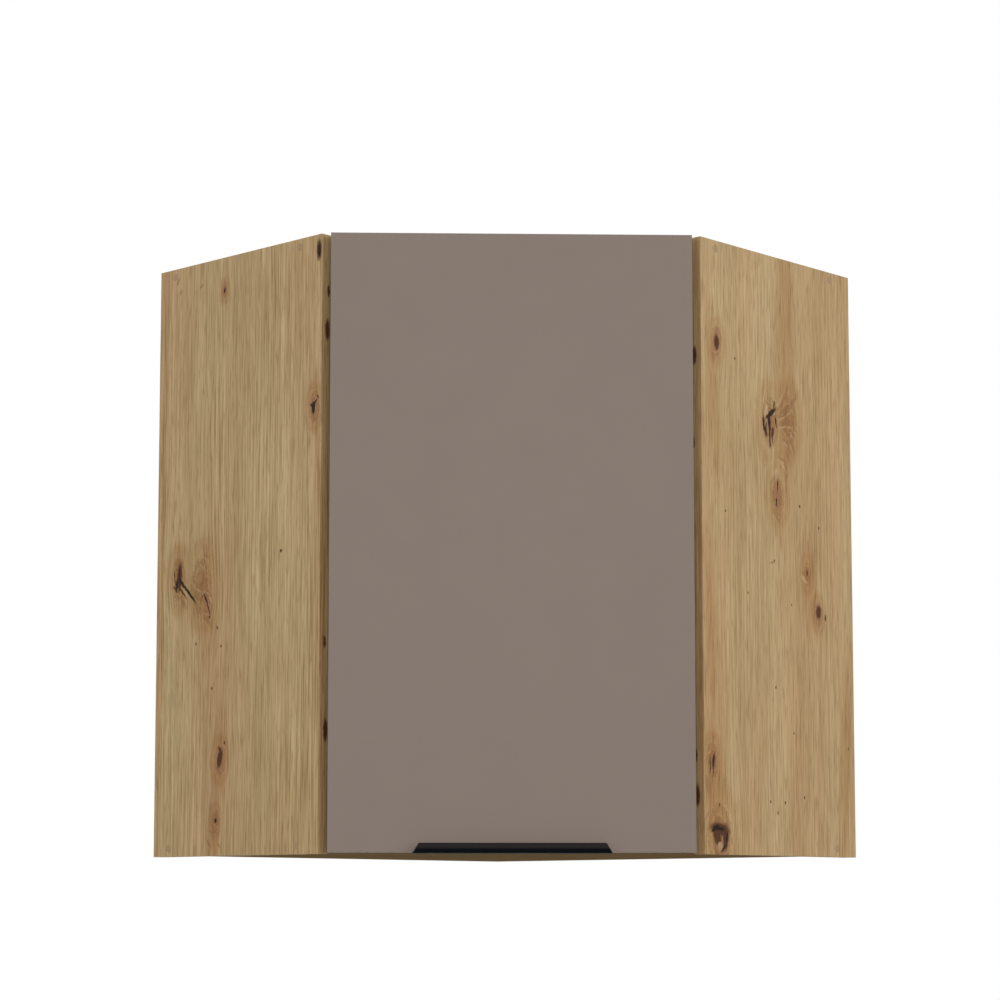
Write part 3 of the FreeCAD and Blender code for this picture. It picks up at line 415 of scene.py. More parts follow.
RIGHT_FIGURE = {
    "knots": [
        (28.5, 596, 7, 11), (130, 514, 12, 19), (142, 427, 10, 15), (15, 107, 8, 12), (26, 20, 15, 16),
        (220.5, 291, 6, 10), (199, 338, 6, 9), (165, 520, 12, 16)],
    "dots": pinholes([
        (62.8, 581.3), (135, 348.6), (83.8, 306.5), (42.9, 398.5), (185.4, 419), (167.5, 298.9),
        (135.3, 198.6), (169.3, 145.3), (188.5, 70), (27.3, 57.3), (122.7, 63.2), (150.8, 62.8),
        (136.6, 50.5), (277.3, 131.9), (223.1, 396.7)]),
    "cracks": [
        (137.6, 540.6, 136.8, 529.2, 2), (138.8, 530.5, 122.3, 518, 6.6), (116.1, 520.3, 118, 502.2, 4.1),
        (127, 523.6, 128.6, 502.4, 5.8), (128.2, 507.1, 128.8, 481.6, 3.1),
        (138.8, 522.9, 141.9, 507.8, 2.5), (122.3, 512.3, 120.4, 502.5, 2.8),
        (142.9, 447.7, 142.3, 429.7, 2.1), (140, 422.9, 140, 413.9, 2.5), (24.3, 33.1, 13.4, 26.5, 4.6),
        (16.3, 30.7, 34.6, 28.7, 5.2), (41.1, 25, 39.1, 13.1, 3.4), (38.9, 11.3, 30.6, 2.9, 3.8),
        (17.4, 114, 14.8, 98.7, 2.8)],
    "cores": [
        (29.1, 599, 29.1, 591.5, 9), (18, 30, 38, 27, 14), (39, 30, 38, 10, 9.5),
        (10.9, 111.9, 10.9, 94.6, 2.2), (19.5, 115.8, 16.1, 91.9, 2.2), (134.4, 505.6, 133.3, 497.7, 5),
        (120, 503.6, 121.9, 496.8, 4.4), (132.9, 498.3, 134.3, 488.4, 1.8), (20, 27.7, 23.7, 16.2, 12.6),
        (220.9, 296.5, 220.5, 290.5, 9.5), (234.3, 289.8, 234.5, 285, 2.7),
        (198.7, 341.2, 199.1, 337.4, 3.2)],
    "hearts": [
        (134, 521, 134, 500, 11), (120, 512, 127, 496, 11), (29, 603, 29, 587, 13), (16, 117, 16, 94, 10),
        (26, 16, 32, 8, 16), (220.5, 298, 220.5, 284, 11), (142, 440, 142, 410, 9)],
    "veins": [
        (221.9, 286.4, 221.1, 272.8, 3.4), (191.4, 338.8, 195.5, 336.8, 2.3),
        (198.5, 333.5, 202.6, 328.4, 2.7), (150.2, 535.9, 141.1, 528.6, 3),
        (157.8, 547.2, 148.6, 534.5, 3.7), (164.3, 561.3, 156.6, 544.6, 4.4),
        (169.3, 539.2, 147.5, 525.3, 5.7), (181.3, 553, 167.3, 535.3, 5), (169.3, 519.4, 151.4, 513.9, 8.4),
        (163.3, 527, 145.5, 520.3, 4), (144.9, 473.1, 158.6, 469.8, 3.7), (157, 471.6, 161.3, 456.5, 4.7),
        (161.7, 459, 159, 444.2, 3.7), (159, 445.4, 159.4, 428.7, 3), (162.1, 481.2, 164.5, 472.5, 5),
        (152.4, 497.3, 169.3, 481.5, 5), (165.3, 503.8, 176.3, 483.7, 4.4), (131.7, 449.3, 129, 435.9, 2),
        (129, 437, 134.4, 421, 2), (135.6, 443.8, 138.8, 432.3, 2.3), (147.5, 442.8, 148.6, 428.6, 2.3),
        (135.6, 431.9, 132.9, 418.5, 2), (147.5, 428.5, 147.5, 416.6, 2.3), (135.6, 405.7, 143.5, 396.4, 2),
        (152.4, 407.5, 144.5, 396.5, 2), (143.1, 398.7, 144.7, 395.3, 4.4), (117.4, 463.5, 118.4, 456, 1.7),
        (123.1, 535.6, 115.3, 522, 2), (123.1, 535.6, 133.7, 534.1, 2), (23.6, 584.4, 23.9, 575.2, 6),
        (29.5, 612.1, 29.1, 603.9, 4), (26.5, 586.6, 30.3, 583.1, 5), (6.1, 85.2, 6.9, 72.5, 10),
        (16.7, 136.5, 17.1, 128.4, 4), (7.2, 49.4, 3.4, 39.5, 2.7), (14.6, 50.8, 20.6, 44, 2.3),
        (48.3, 20.2, 49.8, 13.2, 2.7), (23.9, 19.7, 27.3, 16.3, 6.7), (195.9, 593.8, 194.2, 540.4, 2.7),
        (134.8, 346, 126.8, 345.2, 2.3)],
    "gleams": [
        (147.5, 539.4, 140.4, 534.4, 1.8), (155.4, 552.2, 147.5, 539.4, 1.8),
        (158.2, 523.5, 144.7, 518.7, 2), (169.7, 531.4, 158.2, 523.5, 1.8),
        (160.5, 512.5, 145.5, 508.3, 1.8), (160.5, 512.5, 172.1, 512, 1.7),
        (171.3, 511.9, 180.1, 503.4, 1.7), (166.3, 507, 174.5, 499.1, 1.7), (147.1, 470.9, 159.4, 457.5, 2),
        (141.1, 456.4, 141.1, 448.6, 8.4), (156.2, 492.4, 161.3, 488.9, 3.7),
        (121.9, 531.2, 121.9, 524.1, 6.7), (119.8, 516.7, 122.7, 509.4, 1.8), (21.3, 584, 27.3, 582, 1.8),
        (34.7, 587.8, 27.3, 582, 1.8), (33.3, 602, 26.2, 599.7, 2.7), (14.6, 99.3, 15, 93, 1.7),
        (21.7, 15.6, 26.5, 7, 8.4), (36.6, 56.7, 44.5, 48.1, 2), (44.5, 48.1, 48.3, 37.7, 2),
        (11.7, 118.3, 7.1, 114.1, 2), (189.4, 333.2, 196.5, 327.8, 5)],
    "stains": [
        (157, 721, 157, 463, 32), (155, 547, 157, 463, 39), (19, 591, 27, 447, 20), (142, 452, 142, 392, 24),
        (17, 133, 27, 6, 28), (202, 360, 208, 276, 24), (278, 219, 263, 10, 18), (12, 341, 19, 156, 14)],
}


def stretch(mark, seed):
    """Mapping sockets for a noise whose marks have the given width and length in millimetres."""
    return {"Location": (0, seed, seed), "Scale": (1 / mark[0], 0, 1 / mark[1])}


def grain_layer(tree, point, mark, seed, detail=1):
    """Noise stretched along the grain."""
    place = add(tree, "Mapping", point, stretch(mark, seed))
    return add(tree, "TexNoise", place, {"Scale": 1, "Detail": detail})


def bent_round_knots(tree, point, knots):
    """The point moved so that the grain flows round the knots, and the distance to the nearest in radii."""
    flat = add(tree, "VectorMath", point, (1, 0, KNOT_SHARE), operation="MULTIPLY")
    bent = point
    nearest = None
    for across, up, half_width, bend in knots:
        offset = add(tree, "VectorMath", flat, (across, 0, up * KNOT_SHARE), operation="SUBTRACT")
        far = add(tree, "VectorMath", offset, operation="LENGTH")
        spread = add(tree, "Math", far, far, bend ** 2, operation="MULTIPLY_ADD")
        share = add(tree, "Math", bend ** 2, spread, operation="DIVIDE")
        share = add(tree, "Math", share, BEND_FALL, operation="POWER")
        sideways = add(tree, "VectorMath", offset, (1, 0, 0), operation="MULTIPLY")
        pull = add(tree, "VectorMath", sideways, {"Scale": share}, operation="SCALE")
        bent = add(tree, "VectorMath", bent, pull, operation="SUBTRACT")
        radii = add(tree, "Math", far, half_width, operation="DIVIDE")
        nearest = radii if nearest is None else add(tree, "Math", nearest, radii, operation="MINIMUM")
    return bent, nearest


def drawn(tree, point, strokes):
    """How far inside the nearest stroke the point is: 1 at its middle, 0.5 at its edge, 0 well outside."""
    most = None
    for from_across, from_up, to_across, to_up, width in strokes:
        run = Vector((to_across - from_across, 0, to_up - from_up))
        middle = ((from_across + to_across) / 2, 0, (from_up + to_up) / 2)
        unit = add(tree, "Mapping", point, {
            "Location": middle, "Rotation": (0, math.atan2(run.x, run.z), 0),
            "Scale": (width, 1 / MERGE, run.length + width)}, vector_type="TEXTURE")
        inside = add(tree, "TexGradient", unit, gradient_type="SPHERICAL").outputs["Fac"]
        most = inside if most is None else add(tree, "Math", most, inside, operation="MAXIMUM")
    return most


def grain_tone(tree, point, grain, seed, lines):
    """How pale the plain grain is. Its lines are strong where it is lively and weak where it is calm."""
    lively = add(tree, "MapRange", grain["calm"], *CALM_RANGE, CALM_WEIGHT * lines, lines)
    line = add(tree, "Mapping", point, {**stretch(LINE, seed), "Rotation": (-math.pi / 2, 0, 0)})
    line = add(tree, "TexVoronoi", line, {"Scale": 1}, voronoi_dimensions="2D")
    line = add(tree, "Math", line, LINE_MIDDLE, operation="SUBTRACT")
    tone = add(tree, "Math", line, lively, 1 / 2, operation="MULTIPLY_ADD")
    for layer, weight in GRAIN_WEIGHTS.items():
        share = add(tree, "Math", grain[layer], weight, -weight / 2, operation="MULTIPLY_ADD")
        tone = add(tree, "Math", share, tone, operation="ADD")
    return tone


def printed_grain(tree, point, seed, lines):
    """Colour of the plain grain, the fine fibres in it and its pores."""
    boards = bpy.context.scene.cabinet_boards
    grain = {layer: grain_layer(tree, point, mark, seed + mark[0]) for layer, mark in GRAIN.items()}
    tone = grain_tone(tree, point, grain, seed, lines)
    colour = add(tree, "ValToRGB", tone)
    set_ramp(colour, THREE_TONES, (boards.oak_dark, boards.oak_mid, boards.oak_pale))
    tint = add(tree, "ValToRGB", grain["tint"])
    set_ramp(tint, TINT_RANGE, (linear("#FFFFFA"), linear("#FDF4ED")))
    colour = add(tree, "Mix", 1, {"A": colour, "B": tint}, data_type="RGBA", blend_type="MULTIPLY")
    pore = add(tree, "MapRange", grain["pore"], *PORE_RANGE, 0, PORE_WEIGHT)
    colour = add(tree, "Mix", pore, {"A": colour, "B": linear("#866946")}, data_type="RGBA")
    return colour, grain["fibre"], pore


def ringed(tree, colour, ragged, jag, knot, seed):
    """The colour with rings and curled fibres drawn round the knots."""
    inner = add(tree, "Math", knot, JAG_WEIGHT / 2, operation="SUBTRACT")
    jagged = add(tree, "Math", jag, JAG_WEIGHT, inner, operation="MULTIPLY_ADD")
    ring = add(tree, "ValToRGB", add(tree, "Math", jagged, 1 / RINGS_REACH, operation="MULTIPLY"))
    places, shades = zip(*KNOT_RINGS)
    set_ramp(ring, places, [linear(shade) for shade in shades])
    colour = add(tree, "Mix", 1, {"A": colour, "B": ring}, data_type="RGBA", blend_type="MULTIPLY")
    curls = grain_layer(tree, ragged, CURL, seed)
    curls.inputs["Distortion"].default_value = CURL_TWIST
    fold = add(tree, "Math", curls, 1 / 2, operation="SUBTRACT")
    fold = add(tree, "Math", fold, operation="ABSOLUTE")
    curl = add(tree, "MapRange", fold, CURL_WIDTH, 0)
    near = add(tree, "MapRange", knot, *CURL_RANGE, 0, CURL_WEIGHT, interpolation_type="SMOOTHSTEP")
    curl = add(tree, "Math", curl, near, operation="MULTIPLY")
    return add(tree, "Mix", curl, {"A": colour, "B": linear("#8A6848")}, data_type="RGBA")


def marked(tree, colour, ragged, figure):
    """The colour with every drawn mark of the figure laid over it."""
    for kind, gone, whole, strength, shade, blend in MARKS:
        if kind in figure:
            inside = drawn(tree, ragged, figure[kind])
            cover = add(tree, "MapRange", inside, gone, whole, 0, strength, interpolation_type="SMOOTHSTEP")
            colour = add(tree, "Mix", cover, {"A": colour, "B": linear(shade)}, data_type="RGBA",
                         blend_type=blend)
    return colour


def surface(tree, shader, colour, relief, depth, strength):
    """Give the shader its colour and a relief, with a depth in millimetres."""
    bump = add(tree, "Bump", {"Height": relief, "Distance": depth * MM, "Strength": strength})
    join(tree, colour, shader.inputs["Base Color"])
    join(tree, bump, shader.inputs["Normal"])


def oak_melamine(name, turn, seed, start=(0, 0, 0), figure=PLAIN, specular=0.12, lines=0.55):
    """Printed oak under a matt melamine film: knots and cracks are only drawn, and the film is finely
    pressed along the grain, so it has a low even sheen that breaks up across the pores."""
    material, tree, shader = new_material(name, Specular_IOR_Level=specular)
    point = in_mm(tree, turn, start)
    wander = add(tree, "MapRange", grain_layer(tree, point, STRAY, seed), 0, 1, -WANDER, WANDER)
    strayed = add(tree, "VectorMath", point, add(tree, "CombineXYZ", wander), operation="ADD")
    jag = grain_layer(tree, point, JAG, seed, detail=2)
    jags = add(tree, "VectorMath", jag.outputs["Color"], (1 / 2, 1 / 2, 1 / 2), operation="SUBTRACT")
    jags = add(tree, "VectorMath", jags, {"Scale": 2 * RAGGED}, operation="SCALE")
    ragged = add(tree, "VectorMath", point, jags, operation="ADD")
    bent, knot = bent_round_knots(tree, strayed, figure.get("knots", ()))
    colour, fibre, pore = printed_grain(tree, bent, seed, lines)
    if knot is not None:
        colour = ringed(tree, colour, ragged, jag, knot, seed)
    depth = add(tree, "Math", fibre, pore, operation="SUBTRACT")
    surface(tree, shader, marked(tree, colour, ragged, figure), depth, PORE_DEPTH, 0.5)
    sheen = add(tree, "MapRange", pore, 0, 1 / 2, *FILM_ROUGHNESS)
    join(tree, sheen, shader.inputs["Roughness"])
    return material


def grain_turn(across, along):
    """Turn whose rows run across the grain, out of the board and along the grain."""
    return Matrix((across, along.cross(across), along))


LEFT_SIDE = grain_turn(Vector((-ROOT_HALF, ROOT_HALF, 0)), UP)
RIGHT_SIDE = grain_turn(Vector((ROOT_HALF, ROOT_HALF, 0)), UP)
LEVEL = grain_turn(Vector((0, 1, 0)), Vector((1, 0, 0)))
LEVEL_EDGE = grain_turn(UP, Vector((1, 0, 0)))


def from_corner(turn, side):
    """Mapping location that puts the start of a side's measures at its outer front corner."""
    across = turn @ Vector((side * SIDE_NEAR_X, FACE_Y, 0))
    return (-across.x / MM, 0, 0)


# Sizes of the marks of the other finishes and depths of the textures, in millimetres. SPARK and GRIT are
# really some ten times finer, and are drawn as coarse as they need to be to show.
CHIP, DUST, CHIP_DEPTH = 1.8, 0.6, 0.15
CLOUD, PEEL, PEEL_DEPTH = 60, 1.4, 0.01
FELT, FELT_CLOUD, FELT_DEPTH = 1.4, 35, 0.12
ZINC_GRAIN, NICKEL_GRAIN, PLATE_DEPTH = 1.5, 4, 0.01
SPARK, SPARK_DEPTH = 0.5, 0.02
MILK, FLECK, FLOOR_CLOUD = 3, 1.2, 40
GRIT, GRIT_DEPTH = 0.7, 0.04
PORE_DEPTH = 0.06
# The handle's turn to deep cool black between these heights is painted shade on its downward-facing lower
# bend
PAINTED_SHADE_TOP, PAINTED_SHADE_LOW = 7.5, 4.5  # heights between which the handle turns from warm to deep black

# How dark a finish gets in its darkest marks, as a share of its colour, and how far the door's colour strays
STEEL_SHARE, PLASTIC_SHARE, BLACK_SHARE = 0.88, 0.94, 0.85
DOOR_MOTTLE, BAND_MOTTLE = 0.012, 0.02
SPREAD, FELT_SPREAD, FLECK_SPREAD = 0.2, 0.14, 0.15  # how far from a noise's middle it is all dark or pale


def toned(colour, share):
    """A linear colour made darker or paler."""
    return [channel * share for channel in colour[:3]] + [1]


def set_tones(ramp, dark, pale, spread=SPREAD):
    """Run a ramp node from dark to pale round the middle of a noise."""
    return set_ramp(ramp, (1 / 2 - spread, 1 / 2 + spread), (dark, pale))


def mottled(tree, size, detail, dark, pale, spread=SPREAD):
    """A noise with marks of a size in millimetres, and the colour that turns from dark to pale with it."""
    noise = add(tree, "TexNoise", in_mm(tree), {"Scale": 1 / size, "Detail": detail})
    return noise, set_tones(add(tree, "ValToRGB", noise), dark, pale, spread)


def sawn_particle_board():
    """Pressed wood chips, sawn: pale and dark slivers about 2 mm long, dull and slightly pitted."""
    material, tree, shader = new_material("sawn_particle_board", Roughness=0.85)
    point = in_mm(tree)
    chips = add(tree, "TexVoronoi", point, {"Scale": 1 / CHIP})
    dust = add(tree, "TexNoise", point, {"Scale": 1 / DUST, "Detail": 3})
    tone = add(tree, "Mix", {"Factor": 0.5, "A": chips.outputs["Color"], "B": dust.outputs["Color"]},
               data_type="RGBA")
    colour = add(tree, "ValToRGB", tone)
    set_ramp(colour, THREE_TONES, (linear("#8E714C"), linear("#B5966B"), linear("#CDB48A")))
    surface(tree, shader, colour, dust, CHIP_DEPTH, 0.6)
    return material


def matt_lacquer(name, colour, mottle):
    """Matt lacquer on fibreboard: one even colour with a faint cloudiness and a fine orange peel."""
    material, tree, shader = new_material(name, Roughness=0.5, Specular_IOR_Level=0.25)
    tone = mottled(tree, CLOUD, 2, toned(colour, 1 - mottle), toned(colour, 1 + mottle))[1]
    peel = add(tree, "TexNoise", in_mm(tree), {"Scale": 1 / PEEL, "Detail": 1})
    surface(tree, shader, tone, peel, PEEL_DEPTH, 0.4)
    return material


def brown_hardboard():
    """Wet-pressed hardboard: brown felted fibres, clouded and dull."""
    material, tree, shader = new_material("brown_hardboard", Roughness=0.7)
    point = in_mm(tree)
    fibre = add(tree, "TexNoise", point, {"Scale": 1 / FELT, "Detail": 4, "Roughness": 0.65})
    cloud = add(tree, "TexNoise", point, {"Scale": 1 / FELT_CLOUD, "Detail": 2})
    tone = add(tree, "Mix", {"Factor": 0.4, "A": fibre.outputs["Color"], "B": cloud.outputs["Color"]},
               data_type="RGBA")
    colour = set_tones(add(tree, "ValToRGB", tone), linear("#82623F"), linear("#A27F58"), FELT_SPREAD)
    surface(tree, shader, colour, fibre, FELT_DEPTH, 0.6)
    return material


def plated_steel(name, colour, roughness, grain):
    """Plated steel: a clouded, slightly streaky metal sheen from the rolling under the plating."""
    material, tree, shader = new_material(name, Metallic=1)
    streak, tone = mottled(tree, grain, 3, toned(linear(colour), STEEL_SHARE), linear(colour))
    surface(tree, shader, tone, streak, PLATE_DEPTH, 0.4)
    dull = add(tree, "MapRange", streak, 0, 1, roughness - 0.08, roughness + 0.12)
    join(tree, dull, shader.inputs["Roughness"])
    return material


def moulded_plastic(name, colour, roughness):
    """Injection-moulded plastic: even colour, a soft satin sheen and a very fine spark-eroded texture."""
    material, tree, shader = new_material(name, Roughness=roughness)
    speck, tone = mottled(tree, SPARK, 2, toned(linear(colour), PLASTIC_SHARE), linear(colour))
    surface(tree, shader, tone, speck, SPARK_DEPTH, 0.4)
    return material


def clear_polyurethane():
    """Clear polyurethane gel: see-through, slightly milky, with a soft shine."""
    material, tree, shader = new_material("clear_polyurethane", Roughness=0.2, IOR=1.5,
                                          Transmission_Weight=0.8)
    colour = mottled(tree, MILK, 2, linear("#E6E3DC"), linear("#F4F2EE"))[1]
    join(tree, colour, shader.inputs["Base Color"])
    return material


def black_anodised_aluminium():
    """Black anodised aluminium: a dyed oxide skin, dull from every side, with a very fine bite. Round the
    lower bend its slightly warm black turns deep and cool: painted shade, where the bend faces down."""
    colour = bpy.context.scene.cabinet_door.handle_colour
    material, tree, shader = new_material("black_anodised_aluminium", Roughness=0.62,
                                          Specular_IOR_Level=0.03)
    grit, tone = mottled(tree, GRIT, 2, toned(colour, BLACK_SHARE), colour)
    # Painted shade: the colour darkens and cools towards the handle's lower bend, which faces down
    height = add(tree, "SeparateXYZ", in_mm(tree)).outputs["Z"]
    bend = add(tree, "MapRange", height, PAINTED_SHADE_TOP, PAINTED_SHADE_LOW, interpolation_type="SMOOTHSTEP")
    shaded_black = add(tree, "Mix", bend, {"A": tone, "B": linear("#070C0E")}, data_type="RGBA")
    surface(tree, shader, shaded_black, grit, GRIT_DEPTH, 0.5)
    return material


def turned_beech():
    """Turned beech: pinkish tan with short darker flecks."""
    material, tree, shader = new_material("turned_beech", Roughness=0.6)
    colour = mottled(tree, FLECK, 3, linear("#B48E68"), linear("#CFAC84"), FLECK_SPREAD)[1]
    join(tree, colour, shader.inputs["Base Color"])
    return material


def oak_edge_band_level():
    return oak_melamine("oak_edge_band_level", LEVEL_EDGE, seed=37, lines=0.35)


def zinc_plated_steel():
    return plated_steel("zinc_plated_steel", "#808284", 0.5, ZINC_GRAIN)


def nickel_plated_steel():
    return plated_steel("nickel_plated_steel", "#A39D92", 0.32, NICKEL_GRAIN)


def shared(make):
    """A finish that several operators use: made once, and found by its name after that."""
    return bpy.data.materials.get(make.__name__) or make()


ZINC = (zinc_plated_steel, "zinc_steel")
NICKEL = (nickel_plated_steel, "nickel_steel")


def dress(node, material):
    """Give a CAD piece that stays as it is its finish."""
    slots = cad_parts[node].data.materials
    slots.clear()
    slots.append(material)


def board(name, node, oak, normal, core=sawn_particle_board, both=True):
    """A board of the carcass with its cut edges eased, oak on its decor faces and its core elsewhere."""
    ease = bpy.context.scene.cabinet_boards.edge_ease
    refined(name, "carcass", node, ease, BOARD_SHORTEST, [oak, shared(core)], normal, both)


def fitting(name, node, metal, body="carcass", shortest=METAL_SHORTEST):
    """A metal fitting with its edges eased. The metal is the function of its finish, and its slot, which is
    not used.
    """
    make, slot = metal
    ease = bpy.context.scene.cabinet_fittings.metal_ease
    refined(name, body, node, ease, shortest, [shared(make)])


# Pieces
SIDE_BOARDS = (
    # name, side, outwards, turn, seed, figure, strength of the lines
    ("left", -1, LEFT_OUT, LEFT_SIDE, 3, LEFT_FIGURE, 0.55),
    ("right", 1, RIGHT_OUT, RIGHT_SIDE, 11, RIGHT_FIGURE, 0.3),
)
SIDE_BANDS = (
    # name, side, turn, seed, figure
    ("left", -1, RIGHT_SIDE, 23, LEFT_BAND_FIGURE),
    ("right", 1, LEFT_SIDE, 27, RIGHT_BAND_FIGURE),
)


class CABINET_OT_side_panels(bpy.types.Operator):
    """Oak side panels with eased edges, sawn ends and their front edge bands"""
    bl_idname = "cabinet.side_panels"
    bl_label = "Side Panels"

    def execute(self, context):
        for name, side, outwards, turn, seed, figure, lines in SIDE_BOARDS:
            oak = oak_melamine("oak_melamine_" + name, turn, seed, from_corner(turn, side), figure,
                               lines=lines)
            board(name + "_side_board", name + "_side_panel", oak, outwards)
        for name, side, turn, seed, figure in SIDE_BANDS:
            oak = oak_melamine("oak_edge_band_" + name, turn, seed, from_corner(turn, side), figure)
            refined(name + "_front_band", "carcass", "side_panel_edge_bands",
                    context.scene.cabinet_boards.band_ease, 0, [oak], side=side)
        return {"FINISHED"}


class CABINET_OT_top_and_bottom(bpy.types.Operator):
    """Top and bottom panels with grain along the cabinet's front, and their edge bands"""
    bl_idname = "cabinet.top_and_bottom"
    bl_label = "Top and Bottom"

    def execute(self, context):
        oak = oak_melamine("oak_melamine_level", LEVEL, seed=31, specular=0, lines=0.35)
        for name in ("top", "bottom"):
            board(name + "_board", name + "_panel", oak, UP)
        refined("top_and_bottom_front_bands", "carcass", "top_and_bottom_edge_bands",
                context.scene.cabinet_boards.edge_ease, 0, [shared(oak_edge_band_level)])
        return {"FINISHED"}


class CABINET_OT_shelves(bpy.types.Operator):
    """Two loose shelves and their edge bands"""
    bl_idname = "cabinet.shelves"
    bl_label = "Shelves"

    def execute(self, context):
        oak = oak_melamine("oak_melamine_shelf", LEVEL, seed=43, lines=0.35)
        for name in ("lower_shelf", "upper_shelf"):
            board(name + "_board", name, oak, UP)
        refined("shelf_front_bands", "carcass", "shelf_edge_bands", context.scene.cabinet_boards.edge_ease,
                0, [shared(oak_edge_band_level)])
        return {"FINISHED"}


class CABINET_OT_post_and_backs(bpy.types.Operator):
    """Rear corner post and the two hardboard backs with their printed inner faces"""
    bl_idname = "cabinet.post_and_backs"
    bl_label = "Post and Backs"

    def execute(self, context):
        oak = oak_melamine("oak_melamine_post", RIGHT_SIDE, seed=57)
        board("corner_post_board", "rear_corner_post", oak, RIGHT_OUT)
        for name, inwards, turn, seed in (("left_back", RIGHT_OUT, RIGHT_SIDE, 61),
                                          ("right_back", LEFT_OUT, LEFT_SIDE, 67)):
            oak = oak_melamine(f"oak_print_{name}_panel", turn, seed, lines=0.35)
            board(name + "_board", name + "_panel", oak, inwards, brown_hardboard, both=False)
        return {"FINISHED"}


class CABINET_OT_joinery(bpy.types.Operator):
    """Connecting screws, dowels and back panel nails"""
    bl_idname = "cabinet.joinery"
    bl_label = "Joinery"

    def execute(self, context):
        fitting("connecting_screws", "carcass_screws", ZINC)
        fitting("flat_head_nails", "back_panel_nails", ZINC, shortest=NAIL_SHORTEST)
        dress("wooden_dowels", turned_beech())
        return {"FINISHED"}


# Dome of a cap from its middle to its rim, as shares of its radius and of the dome's height below the top
CAP_SHARES = ((0, 0), (0.5, 0.25), (0.85, 1), (1, 2))


class CABINET_OT_cover_caps(bpy.types.Operator):
    """Slightly domed plastic caps over the screws in both sides"""
    bl_idname = "cabinet.cover_caps"
    bl_label = "Cover Caps"

    def execute(self, context):
        dome = context.scene.cabinet_fittings.cap_dome
        mesh = bmesh.new()
        for low, high in solid_boxes("screw_cover_caps"):
            centre = (low + high) / 2
            radius = (high.z - low.z) / 2
            top = ((high.x - low.x) / ROOT_HALF - 2 * radius) / 2
            outline = [(radius * out, top - dome * down) for out, down in CAP_SHARES]
            add_turned(mesh, outline + [(radius, -top), (0, -top)],
                       standing(centre, LEFT_OUT if centre.x < 0 else RIGHT_OUT))
        plastic = moulded_plastic("oak_coloured_cap_plastic", "#9C7F5A", 0.45)
        finish_piece("domed_cover_caps", "carcass", mesh, [plastic], "screw_cover_caps")
        return {"FINISHED"}


class CABINET_OT_shelf_pins(bpy.types.Operator):
    """Nickel-plated shelf pins with a collar"""
    bl_idname = "cabinet.shelf_pins"
    bl_label = "Shelf Pins"

    def execute(self, context):
        fitting("collared_shelf_pins", "shelf_pins", NICKEL, shortest=PIN_SHORTEST)
        return {"FINISHED"}


class CABINET_OT_hanging_brackets(bpy.types.Operator):
    """Hanging bracket housings, hooks and screws"""
    bl_idname = "cabinet.hanging_brackets"
    bl_label = "Hanging Brackets"

    def execute(self, context):
        white = moulded_plastic("white_bracket_plastic", "#DEDBD3", 0.42)
        refined("bracket_housings", "carcass", "hanging_bracket_housings",
                context.scene.cabinet_fittings.plastic_ease, HOUSING_SHORTEST, [white])
        for name in ("bracket_hooks", "bracket_adjusting_screws", "bracket_fixing_screws"):
            fitting(name, "hanging_" + name, ZINC)
        return {"FINISHED"}


class CABINET_OT_hinges(bpy.types.Operator):
    """Concealed hinges: plates, arms, cups, pins and their screws"""
    bl_idname = "cabinet.hinges"
    bl_label = "Hinges"

    def execute(self, context):
        fitting("hinge_plates", "hinge_mounting_plates", NICKEL)
        fitting("hinge_plate_fixings", "hinge_plate_screws", ZINC)
        fitting("gooseneck_arms", "hinge_arms", NICKEL)
        fitting("arm_screws", "hinge_arm_screws", ZINC)
        fitting("cups", "hinge_cups", NICKEL, "door")
        fitting("cup_screws", "hinge_cup_screws", ZINC, "door")
        fitting("pivot_pins", "hinge_pins", ZINC, "door")
        return {"FINISHED"}


class CABINET_OT_door(bpy.types.Operator):
    """Taupe lacquered door with its edge bands"""
    bl_idname = "cabinet.door"
    bl_label = "Door"

    def execute(self, context):
        colour = context.scene.cabinet_door.lacquer
        dress("door_panel", matt_lacquer("matt_taupe_lacquer", colour, DOOR_MOTTLE))
        dress("door_edge_bands", matt_lacquer("taupe_edge_band", colour, BAND_MOTTLE))
        return {"FINISHED"}


BUMPER_STEPS = 6
WALL_SHARE = 0.3  # share of a bumper's height that stands upright under its dome


class CABINET_OT_bumpers(bpy.types.Operator):
    """Domed clear bumpers on the back of the door"""
    bl_idname = "cabinet.bumpers"
    bl_label = "Bumpers"

    def execute(self, context):
        mesh = bmesh.new()
        for low, high in solid_boxes("door_bumpers"):
            radius = (high.z - low.z) / 2
            height = high.y - low.y
            foot = Vector(((low.x + high.x) / 2, low.y, (low.z + high.z) / 2))
            angles = [math.pi / 2 * step / BUMPER_STEPS for step in range(BUMPER_STEPS + 1)]
            dome = [(radius * math.cos(angle), height * (WALL_SHARE + (1 - WALL_SHARE) * math.sin(angle)))
                    for angle in angles]
            add_turned(mesh, [(0, 0), (radius, 0)] + dome, standing(foot, Vector((0, 1, 0))))
        finish_piece("domed_bumpers", "door", mesh, [clear_polyurethane()], "door_bumpers")
        return {"FINISHED"}


class CABINET_OT_handle(bpy.types.Operator):
    """Black edge handle under the door and its screws"""
    bl_idname = "cabinet.handle"
    bl_label = "Handle"

    def execute(self, context):
        refined("black_edge_handle", "door", "edge_handle", context.scene.cabinet_door.handle_ease,
                HANDLE_SHORTEST, [black_anodised_aluminium()])
        fitting("handle_fixings", "handle_screws", ZINC, "door")
        return {"FINISHED"}


